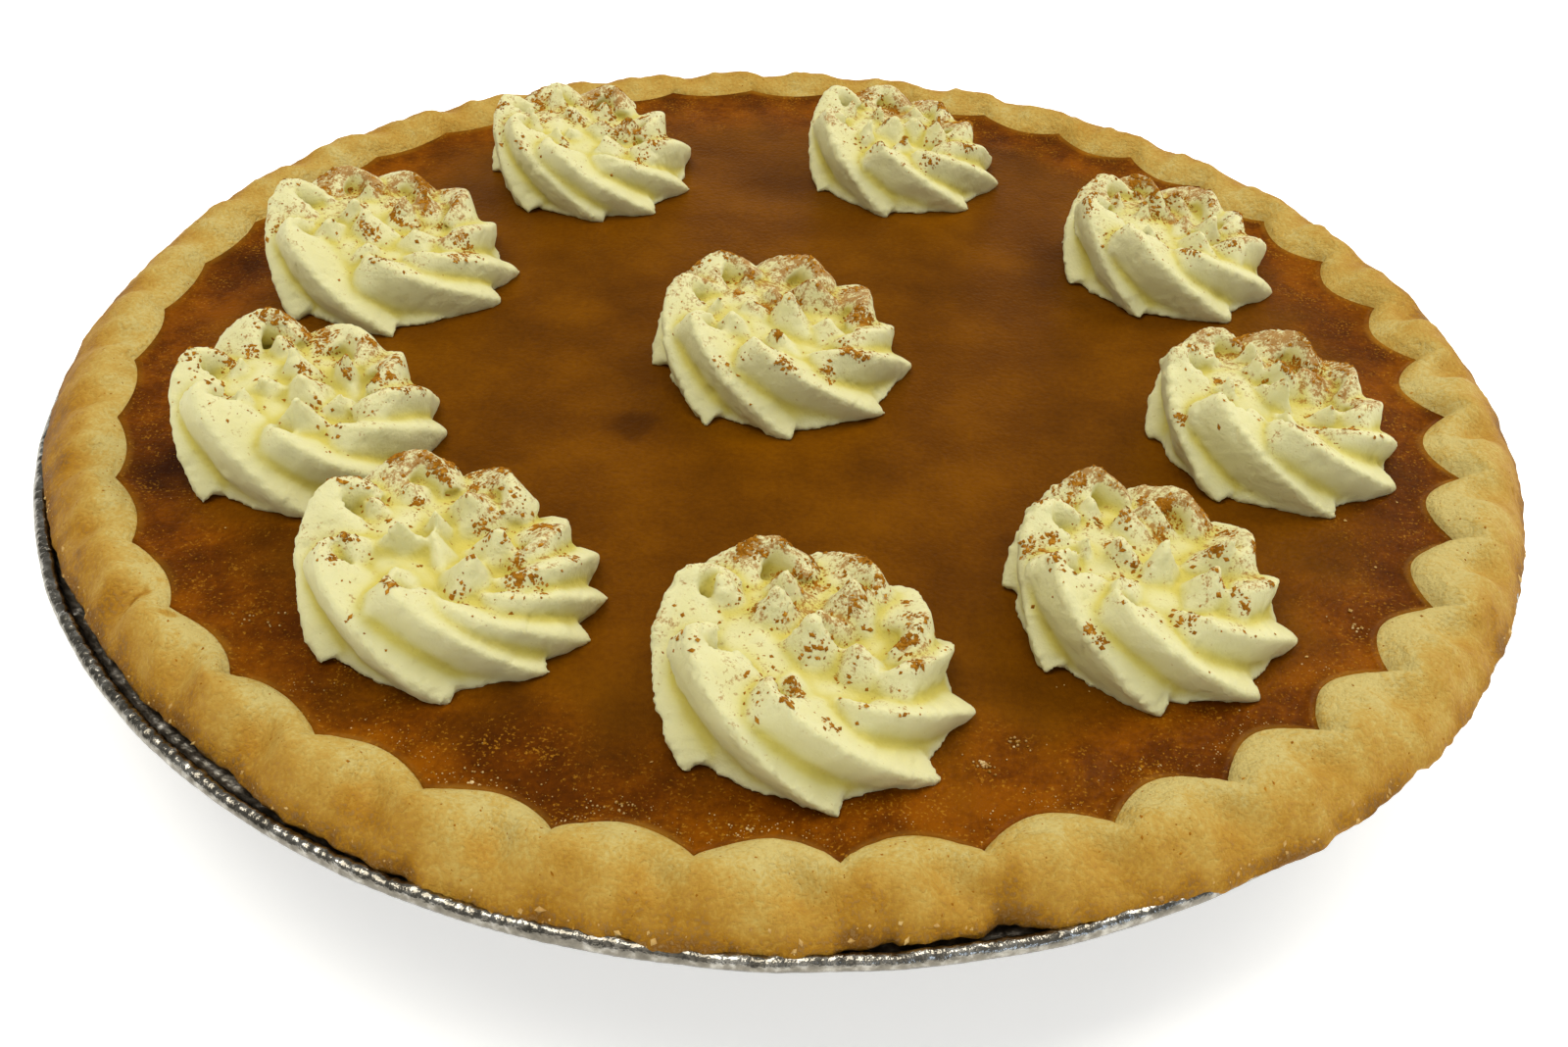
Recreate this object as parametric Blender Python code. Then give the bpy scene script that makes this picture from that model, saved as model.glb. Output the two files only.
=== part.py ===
"""A whole ten-inch pumpkin pie in its own foil tin, with ten piped cream rosettes.

The pie stands on the XY plane with its axis on Z. Azimuth 0 is +X and -Y is the front.
Every piece is a closed solid, and neighbours are kept apart by a small even gap.
"""

import math

import bmesh
import bpy

MM = 0.001

# Foil tin
TIN_RADIUS = 127.0 * MM      # outside of the rolled rim, a ten-inch pan
TIN_HEIGHT = 32.0 * MM
BASE_RADIUS = 96.0 * MM
FOIL = 0.3 * MM              # wall thickness
BEAD_RADIUS = 1.2 * MM       # rolled edge
FLANGE_INNER = 117.0 * MM
BASE_FILLET = 1.5 * MM
TIN_COLUMNS = 64

# Gap left between pieces that touch
GAP = 0.3 * MM

# Crust
FLUTES = 40
PIE_SHIFT = 0.9 * MM         # the pie sits a little right of the tin's middle
NOTCH_RADIUS = 114.0 * MM    # circle through the V notches
LOBE_REACH = 4.8 * MM        # how far a lobe reaches in over the filling
LOBE_RISE = 3.0 * MM         # lobe top above the filling
NOTCH_RISE = 1.4 * MM
EDGE_RADIUS = 124.6 * MM
EDGE_SWAY = 0.9 * MM         # the edge stands further out on the right
EDGE_DROP = 2.2 * MM         # crust edge below the filling
EDGE_THICKNESS = 0.9 * MM
EDGE_UNDERCUT = 1.6 * MM     # width of the thin outermost lip
RIM_SEAT = 3.0 * MM          # where the crust leaves the flange to rise over the bead
RIM_CREST = 117.5 * MM
DENT_DEPTH = 1.8 * MM
MOUTH_DROP = 0.4 * MM        # the lobes' faces go on down this far below the filling
CRUST_WALL_DEPTH = 7.0 * MM  # depth over which the scallops fade into a plain wall
CRUST_WALL_RADIUS = 109.5 * MM
CRUST_FLOOR = 4.6 * MM
CRUST_FLOOR_RADIUS = 91.5 * MM
FLUTE_PHASE = 5.44           # degrees from the front to the first notch
FLUTE_DRIFT = 1.25           # degrees the pinches wander, once round the rim
FLUTE_DRIFT_TWICE = 0.46

# Filling
FILL_LEVEL = 35.6 * MM

# Cream rosettes, placed on a ring with one in the middle
ROSETTE_RIDGES = 8
ROSETTE_HEIGHT = 19.0 * MM
ROSETTE_TWIST = 95.0         # degrees a ridge turns between its foot and the crown
# name: distance from the middle in mm, azimuth, foot radius in mm, azimuth of one ridge's foot
ROSETTES = {
    "rosette_01": (84.2, 273.2, 22.9, 274.0),
    "rosette_02": (83.3, 310.7, 22.0, 268.0),
    "rosette_03": (83.3, 348.1, 21.8, 292.0),
    "rosette_04": (82.6, 29.5, 21.4, 298.0),
    "rosette_05": (79.2, 74.8, 20.9, 262.0),
    "rosette_06": (81.7, 122.4, 21.7, 282.0),
    "rosette_07": (80.3, 162.3, 23.3, 282.0),
    "rosette_08": (83.6, 201.5, 22.0, 285.0),
    "rosette_09": (83.1, 234.7, 22.4, 280.0),
    "rosette_10": (2.0, 215.0, 23.0, 275.0),
}

COLOURS = {
    "aluminium_foil": (0.70, 0.70, 0.69, 0.22, 1.0),
    "baked_crust": (0.60, 0.40, 0.16, 0.75, 0.0),
    "pumpkin_custard": (0.22, 0.07, 0.01, 0.30, 0.0),
    "whipped_cream": (0.86, 0.82, 0.58, 0.60, 0.0),
}


def clear_scene():
    """Remove whatever the scene starts with."""
    for item in list(bpy.data.objects):
        bpy.data.objects.remove(item, do_unlink=True)


def material(name):
    """A Principled material: colour, roughness and metallic come from COLOURS."""
    if name in bpy.data.materials:
        return bpy.data.materials[name]
    red, green, blue, roughness, metallic = COLOURS[name]
    made = bpy.data.materials.new(name)
    made.use_nodes = True
    shader = made.node_tree.nodes["Principled BSDF"]
    shader.inputs["Base Color"].default_value = (red, green, blue, 1.0)
    shader.inputs["Roughness"].default_value = roughness
    shader.inputs["Metallic"].default_value = metallic
    made.diffuse_color = (red, green, blue, 1.0)
    return made


def solid_of_rings(name, rings, low_point, high_point, material_name):
    """A closed solid from rings of points, with one pole under the first and one over the last."""
    mesh = bmesh.new()
    rows = [[mesh.verts.new(point) for point in ring] for ring in rings]
    low = mesh.verts.new(low_point)
    high = mesh.verts.new(high_point)
    count = len(rows[0])
    for column in range(count):
        after = (column + 1) % count
        mesh.faces.new((low, rows[0][after], rows[0][column]))
        mesh.faces.new((high, rows[-1][column], rows[-1][after]))
        for below, above in zip(rows, rows[1:]):
            mesh.faces.new((below[column], below[after], above[after], above[column]))
    bmesh.ops.triangulate(mesh, faces=mesh.faces[:])
    bmesh.ops.recalc_face_normals(mesh, faces=mesh.faces[:])
    data = bpy.data.meshes.new(name)
    mesh.to_mesh(data)
    mesh.free()
    data.materials.append(material(material_name))
    data.shade_smooth()
    data.set_sharp_from_angle(angle=math.radians(40.0))
    made = bpy.data.objects.new(name, data)
    bpy.context.collection.objects.link(made)
    return made


def around(radius, height, azimuth):
    """A point at a radius, height and azimuth (radians) about the pie's axis."""
    return (radius * math.cos(azimuth), radius * math.sin(azimuth), height)


def on_pie(radius, height, azimuth):
    """A point about the pie's own middle, which is a little off the tin's."""
    x, y, z = around(radius, height, azimuth)
    return (x + PIE_SHIFT, y, z)


def smooth(value):
    """0 below 0, 1 above 1 and an even S curve between."""
    value = min(max(value, 0.0), 1.0)
    return value * value * (3.0 - 2.0 * value)


# --- The foil tin ---

def tin_profile():
    """Radius and height along the foil: up the outside, over the bead, down the inside."""
    bead_centre = TIN_RADIUS - BEAD_RADIUS
    bead_height = TIN_HEIGHT - BEAD_RADIUS
    flange = bead_height - BEAD_RADIUS * 0.4
    outside = [
        (BASE_RADIUS - BASE_FILLET, 0.0),
        (BASE_RADIUS, BASE_FILLET * 0.6),
        (FLANGE_INNER, flange - FOIL),
        (bead_centre - BEAD_RADIUS, flange - FOIL),
    ]
    bead = []
    for step in range(6):
        turn = math.radians(-110.0 + 52.0 * step)
        bead.append((
            bead_centre + BEAD_RADIUS * math.cos(turn),
            bead_height + BEAD_RADIUS * math.sin(turn),
        ))
    inside = [
        (bead_centre - BEAD_RADIUS * 1.05, flange),
        (FLANGE_INNER - FOIL * 0.7, flange),
        (BASE_RADIUS - FOIL * 1.3, BASE_FILLET * 0.6 + FOIL * 0.7),
        (BASE_RADIUS - BASE_FILLET - FOIL * 0.2, FOIL),
    ]
    return outside + bead + inside


def build_tin():
    """The pan: a flat base, a sloping wall, a level flange and a rolled edge."""
    turns = [2.0 * math.pi * column / TIN_COLUMNS for column in range(TIN_COLUMNS)]
    rings = [[around(radius, height, turn) for turn in turns] for radius, height in tin_profile()]
    solid_of_rings("tin", rings, (0, 0, 0), (0, 0, FOIL), "aluminium_foil")


# --- The fluted crust ---

def notch_azimuth(index):
    """Azimuth of a notch in radians: the hand-pinched flutes wander about even steps."""
    even = math.radians(-90.0 + FLUTE_PHASE + 360.0 / FLUTES * index)
    drift = FLUTE_DRIFT * math.sin(even)
    drift += FLUTE_DRIFT_TWICE * math.cos(2.0 * (even + math.radians(41.0)))
    return even + math.radians(drift)


def flute_columns():
    """Each column's azimuth and its place in its flute: 0 at a notch, about 0.5 at the lobe."""
    columns = []
    for index in range(FLUTES):
        start = notch_azimuth(index)
        end = notch_azimuth(index + 1)
        if index == FLUTES - 1:
            end = notch_azimuth(0) + 2.0 * math.pi
        for place in (0.0, 0.2, 0.46, 0.74):
            columns.append((start + (end - start) * place, place))
    return columns


def lobe(place):
    """0 at the notches and 1 at the lobe's tip, with a sharp V at each notch."""
    return math.sin(math.pi * place) ** 0.8


def inner_radius(place):
    """Where the crust meets the filling."""
    return NOTCH_RADIUS - LOBE_REACH * lobe(place)


def edge_radius(azimuth):
    """The crust's outer edge, which hides more of the tin on the right than on the left."""
    return EDGE_RADIUS + EDGE_SWAY * math.cos(azimuth)


def crust_top(place, radius, azimuth):
    """Height of the crust's top: pillow lobes inside, thumb dents, then a fall to the edge."""
    inside = inner_radius(place)
    edge = edge_radius(azimuth)
    crest = NOTCH_RISE + (LOBE_RISE - NOTCH_RISE) * lobe(place)
    plateau = crest + (LOBE_RISE + 0.6 * MM - crest) * smooth((radius - inside) / (5.0 * MM))
    fall = smooth((radius - RIM_CREST) / (edge - RIM_CREST)) * (LOBE_RISE + EDGE_DROP)
    across = math.exp(-((place - 0.75) / 0.16) ** 2)
    along = math.exp(-((radius - RIM_CREST - 1.0 * MM) / (3.2 * MM)) ** 2)
    return FILL_LEVEL + plateau - fall - DENT_DEPTH * across * along


def build_crust():
    """One pastry case: under the rim and down inside the tin, fluted on top, hollow within."""
    flange = TIN_HEIGHT - BEAD_RADIUS * 1.4
    columns = flute_columns()
    bottom_edge = FILL_LEVEL - EDGE_DROP - EDGE_THICKNESS
    in_tin = [
        (BASE_RADIUS - BASE_FILLET - GAP * 2.0, FOIL + GAP),
        (FLANGE_INNER - FOIL - GAP * 1.2, flange + GAP),
    ]
    rings = [[around(r, z, turn) for turn, place in columns] for r, z in in_tin]
    for inset, height in ((RIM_SEAT, flange + GAP), (EDGE_UNDERCUT, bottom_edge), (0.0, bottom_edge)):
        rings.append([on_pie(edge_radius(turn) - inset, height, turn) for turn, place in columns])
    for share in (1.0, 0.66, 0.33):
        ring = []
        for turn, place in columns:
            start = inner_radius(place)
            radius = start + (edge_radius(turn) - start) * share
            ring.append(on_pie(radius, crust_top(place, radius, turn), turn))
        rings.append(ring)
    lip = []
    mouth = []
    for turn, place in columns:
        radius = inner_radius(place)
        lip.append(on_pie(radius, crust_top(place, radius, turn), turn))
        mouth.append(on_pie(radius, FILL_LEVEL - MOUTH_DROP, turn))
    rings.append(lip)
    rings.append(mouth)
    wall = FILL_LEVEL - CRUST_WALL_DEPTH
    rings.append([around(CRUST_WALL_RADIUS, wall, turn) for turn, place in columns])
    rings.append([around(CRUST_FLOOR_RADIUS, CRUST_FLOOR, turn) for turn, place in columns])
    solid_of_rings("crust", rings, (0, 0, FOIL + GAP), (0, 0, CRUST_FLOOR), "baked_crust")


# --- The filling ---

def build_filling():
    """Set custard that fills the case, with a scalloped edge that follows the lobes."""
    columns = flute_columns()
    floor = CRUST_FLOOR + GAP
    wall = FILL_LEVEL - CRUST_WALL_DEPTH
    foot = CRUST_FLOOR_RADIUS - GAP
    side = CRUST_WALL_RADIUS - GAP * 1.4
    rings = [
        [around(foot, floor, turn) for turn, place in columns],
        [around(side, wall, turn) for turn, place in columns],
        [on_pie(inner_radius(place) - GAP * 1.4, FILL_LEVEL, turn) for turn, place in columns],
    ]
    solid_of_rings("filling", rings, (0, 0, floor), (0, 0, FILL_LEVEL), "pumpkin_custard")


# --- The cream rosettes ---

# Rings of a rosette, from its foot up: how far down the twist the ring lies, then the radius and
# height of its ridge crests, then the radius and height of its valleys. Radii are shares of the
# foot radius and heights are shares of the rosette's height.
ROSETTE_RINGS = (
    (1.00, 1.00, 0.00, 0.80, 0.00),
    (0.80, 0.98, 0.36, 0.72, 0.34),
    (0.54, 0.82, 0.72, 0.58, 0.62),
    (0.30, 0.60, 0.95, 0.44, 0.74),
    (0.12, 0.32, 1.00, 0.24, 0.80),
)


def rosette_ring(ring, radius, height, foot):
    """One star-shaped ring: eight ridges, each with a crest, a valley and two flanks."""
    down, crest_r, crest_z, valley_r, valley_z = ring
    points = []
    for ridge in range(ROSETTE_RIDGES):
        for quarter, raised in enumerate((1.0, 0.45, 0.0, 0.55)):
            azimuth = foot + 360.0 / ROSETTE_RIDGES * (ridge + quarter / 4.0)
            azimuth -= ROSETTE_TWIST * (1.0 - down)
            r = radius * (valley_r + (crest_r - valley_r) * raised)
            z = height * (valley_z + (crest_z - valley_z) * raised)
            points.append(around(r, z, math.radians(azimuth)))
    return points


def build_rosette(name, distance, azimuth, radius, foot):
    """A piped star swirl whose ridges sweep outwards and down, standing on the filling."""
    where = math.radians(azimuth)
    x = distance * math.cos(where) + PIE_SHIFT
    y = distance * math.sin(where)
    base = FILL_LEVEL + GAP
    rings = []
    for ring in ROSETTE_RINGS:
        points = rosette_ring(ring, radius, ROSETTE_HEIGHT, foot)
        rings.append([(px + x, py + y, pz + base) for px, py, pz in points])
    top = base + ROSETTE_HEIGHT * 0.86
    solid_of_rings(name, rings, (x, y, base), (x, y, top), "whipped_cream")


def main():
    """Build every piece of the pie."""
    clear_scene()
    build_tin()
    build_crust()
    build_filling()
    for name, (distance, azimuth, radius, foot) in ROSETTES.items():
        build_rosette(name, distance * MM, azimuth, radius * MM, foot)


main()
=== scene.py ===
# %% [markdown]
# # A pumpkin pie in its foil tin
#
# The pie has four kinds of piece: a pressed foil tin, a pinched pastry crust, set pumpkin custard and
# ten piped swirls of whipped cream, plus ground spice and a few pastry flakes lying loose on top.
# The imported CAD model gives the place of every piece. Here each plain solid is replaced by a finely
# shaped mesh in the same place. Food is uneven, so every shape starts from one clean rule, such as
# a ring of lobes, and is then pushed about by smooth random noise.

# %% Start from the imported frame
import math

import bmesh
import bpy
import numpy as np
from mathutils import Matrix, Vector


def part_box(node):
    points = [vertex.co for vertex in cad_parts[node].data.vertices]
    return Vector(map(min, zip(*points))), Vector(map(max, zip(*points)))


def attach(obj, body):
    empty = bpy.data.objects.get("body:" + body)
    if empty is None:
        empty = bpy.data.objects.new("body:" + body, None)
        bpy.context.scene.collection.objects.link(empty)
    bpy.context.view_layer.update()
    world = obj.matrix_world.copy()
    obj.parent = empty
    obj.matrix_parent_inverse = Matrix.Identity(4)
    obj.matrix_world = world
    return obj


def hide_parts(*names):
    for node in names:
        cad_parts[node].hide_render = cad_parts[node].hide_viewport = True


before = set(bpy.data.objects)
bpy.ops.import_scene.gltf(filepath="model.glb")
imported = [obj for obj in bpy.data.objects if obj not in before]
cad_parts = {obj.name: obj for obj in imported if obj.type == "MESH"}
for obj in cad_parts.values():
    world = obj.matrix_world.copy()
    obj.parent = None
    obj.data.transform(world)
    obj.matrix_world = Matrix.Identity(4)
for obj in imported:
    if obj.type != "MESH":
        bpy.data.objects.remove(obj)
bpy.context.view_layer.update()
MM = 0.001
print("nodes in the frame:", ", ".join(sorted(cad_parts)))

# %% [markdown]
# ## Shared tools
#
# All the big shapes are skins: rings of points, one over the other, joined into four-sided faces and
# closed by a pole at each end. A skin is easy to reason about, because each point knows its azimuth
# round the pie and its place along the section. It is also closed by its nature, so the mesh has no
# holes. Numpy moves all the points of a skin at once, which is far quicker than a loop.

# %% Smooth steps and measures
def smooth(value):
    """0 below 0, 1 above 1 and an even S curve between."""
    value = np.clip(value, 0.0, 1.0)
    return value * value * (3.0 - 2.0 * value)


def hump(value, width):
    """A soft bump: 1 where value is 0, falling away over width on both sides."""
    return np.exp(-((value / width) ** 2))


def wrapped(turn, whole=1.0):
    """A difference of angle or place, brought to the half turn on either side of 0."""
    return (turn + whole * 0.5) % whole - whole * 0.5


def curve_through(place, known, values):
    """Smooth curve through a few known values, a Hermite spline with even slopes."""
    known = np.asarray(known, float)
    values = np.asarray(values, float)
    slopes = np.gradient(values, known)
    index = np.clip(np.searchsorted(known, place) - 1, 0, len(known) - 2)
    span = known[index + 1] - known[index]
    t = (place - known[index]) / span
    rise = values[index + 1] - values[index]
    bend = slopes[index] * span
    after = slopes[index + 1] * span
    return values[index] + bend * t + (3 * rise - 2 * bend - after) * t ** 2 + (bend + after - 2 * rise) * t ** 3


# %% Smooth random noise
def cell_value(cells, seed):
    """A fixed random number from -1 to 1 for each whole-number cell."""
    mixed = (cells[..., 0] * 73856093) ^ (cells[..., 1] * 19349663) ^ (cells[..., 2] * 83492791)
    mixed = (mixed ^ (seed * 374761393)) & 0x7FFFFFFF
    mixed = ((mixed ^ (mixed >> 13)) * 1274126177) & 0x7FFFFFFF
    mixed = mixed ^ (mixed >> 16)
    return (mixed & 0xFFFF) / 32767.5 - 1.0


def noise(points, size, seed):
    """Smooth values from about -1 to 1 whose bumps are `size` metres apart."""
    scaled = points / size
    cells = np.floor(scaled).astype(np.int64)
    within = scaled - cells
    within = within * within * (3.0 - 2.0 * within)
    total = np.zeros(points.shape[:-1])
    for corner in range(8):
        step = np.array([corner & 1, (corner >> 1) & 1, (corner >> 2) & 1])
        share = np.prod(np.where(step == 1, within, 1.0 - within), axis=-1)
        total += share * cell_value(cells + step, seed)
    return total


def rough(points, size, octaves, seed):
    """Noise with finer noise on top, each layer half the size and half the height."""
    total = np.zeros(points.shape[:-1])
    for layer in range(octaves):
        total += noise(points, size / 2 ** layer, seed + layer) / 2 ** layer
    return total


print("noise, first values:", np.round(noise(np.linspace(0, 0.01, 12).reshape(4, 3), 0.002, 1), 2))


# %% Rings of points to a closed mesh
def ring_points(radius, azimuth, height, middle=(0.0, 0.0)):
    """Points at a radius, azimuth and height about an upright axis; the inputs are grids."""
    radius, azimuth, height = np.broadcast_arrays(radius, azimuth, height)
    x = middle[0] + radius * np.cos(azimuth)
    y = middle[1] + radius * np.sin(azimuth)
    return np.stack([x, y, height], axis=-1)


def skin_normals(rings):
    """Which way is out at each point of a skin, from its neighbours."""
    along = np.roll(rings, -1, axis=1) - np.roll(rings, 1, axis=1)
    up = np.gradient(rings, axis=0)
    out = np.cross(along, up)
    return out / np.maximum(np.linalg.norm(out, axis=-1, keepdims=True), 1e-12)


def skin(name, rings, low, high, finish, marks=None):
    """A closed mesh through rings of points, with a pole under the first and one over the last.

    marks holds named grids of numbers, such as how browned the crust is, for the finish to read.
    """
    count, columns = rings.shape[:2]
    points = np.vstack([rings.reshape(-1, 3), [low], [high]])
    index = np.arange(count * columns).reshape(count, columns)
    after = np.roll(index, -1, axis=1)
    quads = np.stack([index[:-1], after[:-1], after[1:], index[1:]], axis=-1).reshape(-1, 4)
    low_pole = np.full(columns, count * columns)
    low_fan = np.stack([low_pole, after[0], index[0]], axis=-1)
    high_fan = np.stack([low_pole + 1, index[-1], after[-1]], axis=-1)
    mesh = bpy.data.meshes.new(name)
    mesh.from_pydata(points.tolist(), [], quads.tolist() + low_fan.tolist() + high_fan.tolist())
    mesh.shade_smooth()
    for mark, grid in (marks or {}).items():
        values = np.concatenate([np.broadcast_to(grid, (count, columns)).ravel(), grid[0, :1], grid[-1, :1]])
        mesh.attributes.new(mark, "FLOAT", "POINT").data.foreach_set("value", values.astype(np.float32))
    mesh.materials.append(finish)
    piece = bpy.data.objects.new(name, mesh)
    bpy.context.collection.objects.link(piece)
    print(f"{name}: {len(mesh.polygons)} faces, {1000 * piece.dimensions.x:.1f} mm wide")
    return piece


# %% [markdown]
# ## Tools for finishes
#
# A finish is a small graph of nodes. One function adds a node with its settings and whatever feeds
# it, so that each finish reads from top to bottom like a recipe. Colours are written as the hex
# values of a colour picker and turned to the linear values that a renderer works with.

# %% Colours and nodes
def linear(hex_colour):
    """A hex colour from a picker as linear red, green, blue and a full alpha."""
    parts = [int(hex_colour[i:i + 2], 16) / 255.0 for i in (1, 3, 5)]
    return tuple(p / 12.92 if p <= 0.04045 else ((p + 0.055) / 1.055) ** 2.4 for p in parts) + (1.0,)


def add(tree, kind, inputs=None, **settings):
    """Add one node with its settings; each input is a plain value or another node's output."""
    made = tree.nodes.new(kind)
    for setting, value in settings.items():
        setattr(made, setting, value)
    for socket, value in (inputs or {}).items():
        if isinstance(value, bpy.types.NodeSocket):
            tree.links.new(value, made.inputs[socket])
        else:
            made.inputs[socket].default_value = value
    return made


def new_finish(name):
    """An empty material with its output node, ready for a recipe."""
    made = bpy.data.materials.new(name)
    made.use_nodes = True
    made.node_tree.nodes.clear()
    return made, made.node_tree


def ramp(tree, factor, stops):
    """A colour ramp through (place, hex colour) stops, and its colour output."""
    made = add(tree, "ShaderNodeValToRGB", {"Fac": factor})
    elements = made.color_ramp.elements
    while len(elements) < len(stops):
        elements.new(0.5)
    for element, (place, colour) in zip(elements, stops):
        element.position = place
        element.color = linear(colour)
    return made.outputs["Color"]


# %% [markdown]
# ## Camera
#
# The camera stands in front of the pie and a little over two rim radii away, looking down at about
# 38 degrees with a short normal lens. A short distance matters: it makes the front flutes look much
# larger than those at the back.

# %% Camera
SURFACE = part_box("filling")[1][2]        # level of the custard
CAMERA_BACK = 251.6 * MM                 # in front of the tin's middle
CAMERA_UP = 162.7 * MM                   # over the custard
camera_data = bpy.data.cameras.new("camera")
camera_data.lens = 38.4
camera_data.sensor_width = 36.0
camera_data.clip_start = 0.01
camera = bpy.data.objects.new("camera", camera_data)
camera.location = (0.7 * MM, -CAMERA_BACK, SURFACE + CAMERA_UP)
camera.rotation_mode = "ZYX"             # the roll is about the camera's own axis, before the tilt
camera.rotation_euler = (math.radians(90.0 - 38.38), 0.0, math.radians(2.94))
bpy.context.collection.objects.link(camera)
bpy.context.scene.camera = camera
print("camera height over the custard:", round(1000 * (camera.location.z - SURFACE), 1), "mm")

# %% [markdown]
# ## Floor and light
#
# The floor is a wide pale dish whose edge curves up, so a low camera still sees plain floor behind the
# pie. Food looks soft under broad lamps: two large panels, one high at the back right and one overhead,
# give the main light, two small dim ones at the front and the front right keep the near side from going
# dark, and a dim sky fills the shadows. The standard view transform keeps the finishes' own colours.

# %% Floor
def build_floor():
    """A round floor with a low curved edge, in matt off-white card."""
    card, tree = new_finish("matt_white_card")
    shader = add(tree, "ShaderNodeBsdfPrincipled", {
        "Base Color": linear("#F4F4F2"), "Roughness": 0.9,
        "Emission Color": linear("#FFFFFF"), "Emission Strength": 0.5,
    })
    add(tree, "ShaderNodeOutputMaterial", {"Surface": shader.outputs[0]})
    turns = np.linspace(0.0, 2.0 * math.pi, 96, endpoint=False)
    section = [(0.3, 0.0), (1.2, 0.0), (1.9, 0.0), (2.2, 0.03), (2.4, 0.12), (2.5, 0.3), (2.52, 0.6)]
    points = [(0.0, 0.0, 0.0)]
    faces = []
    for ring, (radius, height) in enumerate(section):
        points += [(radius * math.cos(t), radius * math.sin(t), height) for t in turns]
        for column in range(96):
            after = (column + 1) % 96
            if ring == 0:
                faces.append((0, 1 + column, 1 + after))
                continue
            low = 1 + (ring - 1) * 96
            faces.append((low + column, low + 96 + column, low + 96 + after, low + after))
    mesh = bpy.data.meshes.new("floor")
    mesh.from_pydata(points, [], faces)
    mesh.shade_smooth()
    mesh.materials.append(card)
    floor = bpy.data.objects.new("floor", mesh)
    bpy.context.collection.objects.link(floor)


build_floor()


# %% Lamps and sky
def lamp(name, place, size, watts, colour):
    """A square soft panel that faces the pie."""
    data = bpy.data.lights.new(name, "AREA")
    data.shape = "SQUARE"
    data.size = size
    data.energy = watts
    data.color = linear(colour)[:3]
    made = bpy.data.objects.new(name, data)
    made.location = place
    across = math.hypot(place[0], place[1])
    made.rotation_euler = (math.atan2(across, place[2]), 0.0, math.atan2(place[0], -place[1]))
    bpy.context.collection.objects.link(made)


lamp("back_right_panel", (0.85, 0.50, 1.10), 0.8, 11.0, "#FFFAF0")
lamp("overhead_panel", (-0.30, -0.10, 1.25), 0.8, 9.0, "#FFFAF0")
lamp("front_right_panel", (0.9, -1.1, 0.7), 0.4, 1.6, "#C4DCFF")
lamp("front_panel", (-0.1, -1.2, 1.0), 0.7, 0.7, "#FFFAF2")


def build_sky():
    """A studio ceiling: bright overhead and dim towards the walls, which gives metal something to mirror."""
    sky = bpy.data.worlds.new("studio_ceiling")
    sky.use_nodes = True
    tree = sky.node_tree
    way = add(tree, "ShaderNodeSeparateXYZ", {"Vector": add(tree, "ShaderNodeTexCoord").outputs["Generated"]})
    bright = add(tree, "ShaderNodeMapRange", {
        "Value": way.outputs["Z"], "From Min": 0.15, "From Max": 0.9, "To Min": 0.20, "To Max": 0.56,
    })
    walls = add(tree, "ShaderNodeMapRange", {
        "Value": way.outputs["Z"], "From Min": 0.05, "From Max": 0.45, "To Min": 0.42, "To Max": 0.0,
    })
    both = add(tree, "ShaderNodeMath", {0: bright.outputs["Result"], 1: walls.outputs["Result"]}, operation="ADD")
    background = tree.nodes["Background"]
    background.inputs["Color"].default_value = linear("#DCDCDA")
    tree.links.new(both.outputs[0], background.inputs["Strength"])
    bpy.context.scene.world = sky


build_sky()
bpy.context.scene.view_settings.view_transform = "Standard"

# %% [markdown]
# ## Flutes
#
# A baker pinches the pastry rim between thumb and knuckle, forty times round. Each pinch leaves a
# sharp V notch against the custard, with a rounded lobe between it and the next. The hand wanders
# a little, so the notches are not quite evenly spaced. Every column of the crust and the custard knows
# its azimuth and its place in its own flute, 0 at a notch and about 0.5 at the tip of the lobe.

# %% Flute columns
FLUTES = 40
PIE_SHIFT = 0.9 * MM                     # the pie sits a little right of the tin's middle
PIE_MIDDLE = (PIE_SHIFT, 0.0)
NOTCH_RADIUS = 114.0 * MM
LOBE_REACH = 3.5 * MM                    # how far a lobe reaches in, on average
LOBE_SWAY = 1.9 * MM                     # the lobes are larger on the right than on the left
FLUTE_PHASE = 5.44                       # degrees from the front to the first notch


def notch_azimuths():
    """Azimuth of each notch, and the first again after a full turn."""
    even = np.radians(-90.0 + FLUTE_PHASE + 360.0 / FLUTES * np.arange(FLUTES))
    drift = 1.25 * np.sin(even) + 0.46 * np.cos(2.0 * (even + math.radians(41.0)))
    drift += 0.28 * np.cos(3.0 * (even - math.radians(35.0)))
    notches = even + np.radians(drift)
    return np.append(notches, notches[0] + 2.0 * math.pi)


def flute_columns(per_flute):
    """Azimuth, place in the flute and flute number of every column."""
    notches = notch_azimuths()
    places = np.arange(per_flute) / per_flute
    azimuth = notches[:-1, None] + np.diff(notches)[:, None] * places[None, :]
    number = np.repeat(np.arange(FLUTES), per_flute)
    return azimuth.ravel(), np.tile(places, FLUTES), number


def flute_noise(number, seed):
    """One random value from -1 to 1 for each flute, so that no two are pinched alike."""
    cells = np.stack([number, number * 0 + 3, number * 0 + 7], axis=-1)
    return cell_value(cells, seed)


def lobe(place):
    """0 at the notches and 1 at the tip of the lobe, with a sharp V at each notch."""
    return np.sin(math.pi * np.clip(place, 0.0, 1.0)) ** 0.82


def inner_radius(place, number, azimuth):
    """Where pastry meets custard: the lobes reach in by slightly different amounts."""
    lean = place + 0.05 * flute_noise(number, 5) * np.sin(math.pi * place)
    reach = LOBE_REACH + LOBE_SWAY * np.cos(azimuth + math.radians(10.0))
    return NOTCH_RADIUS - reach * (1.0 + 0.10 * flute_noise(number, 4)) * lobe(lean)


spacing = np.degrees(np.diff(notch_azimuths()))
print("flute spacing, degrees:", round(spacing.min(), 2), "to", round(spacing.max(), 2))

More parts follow.
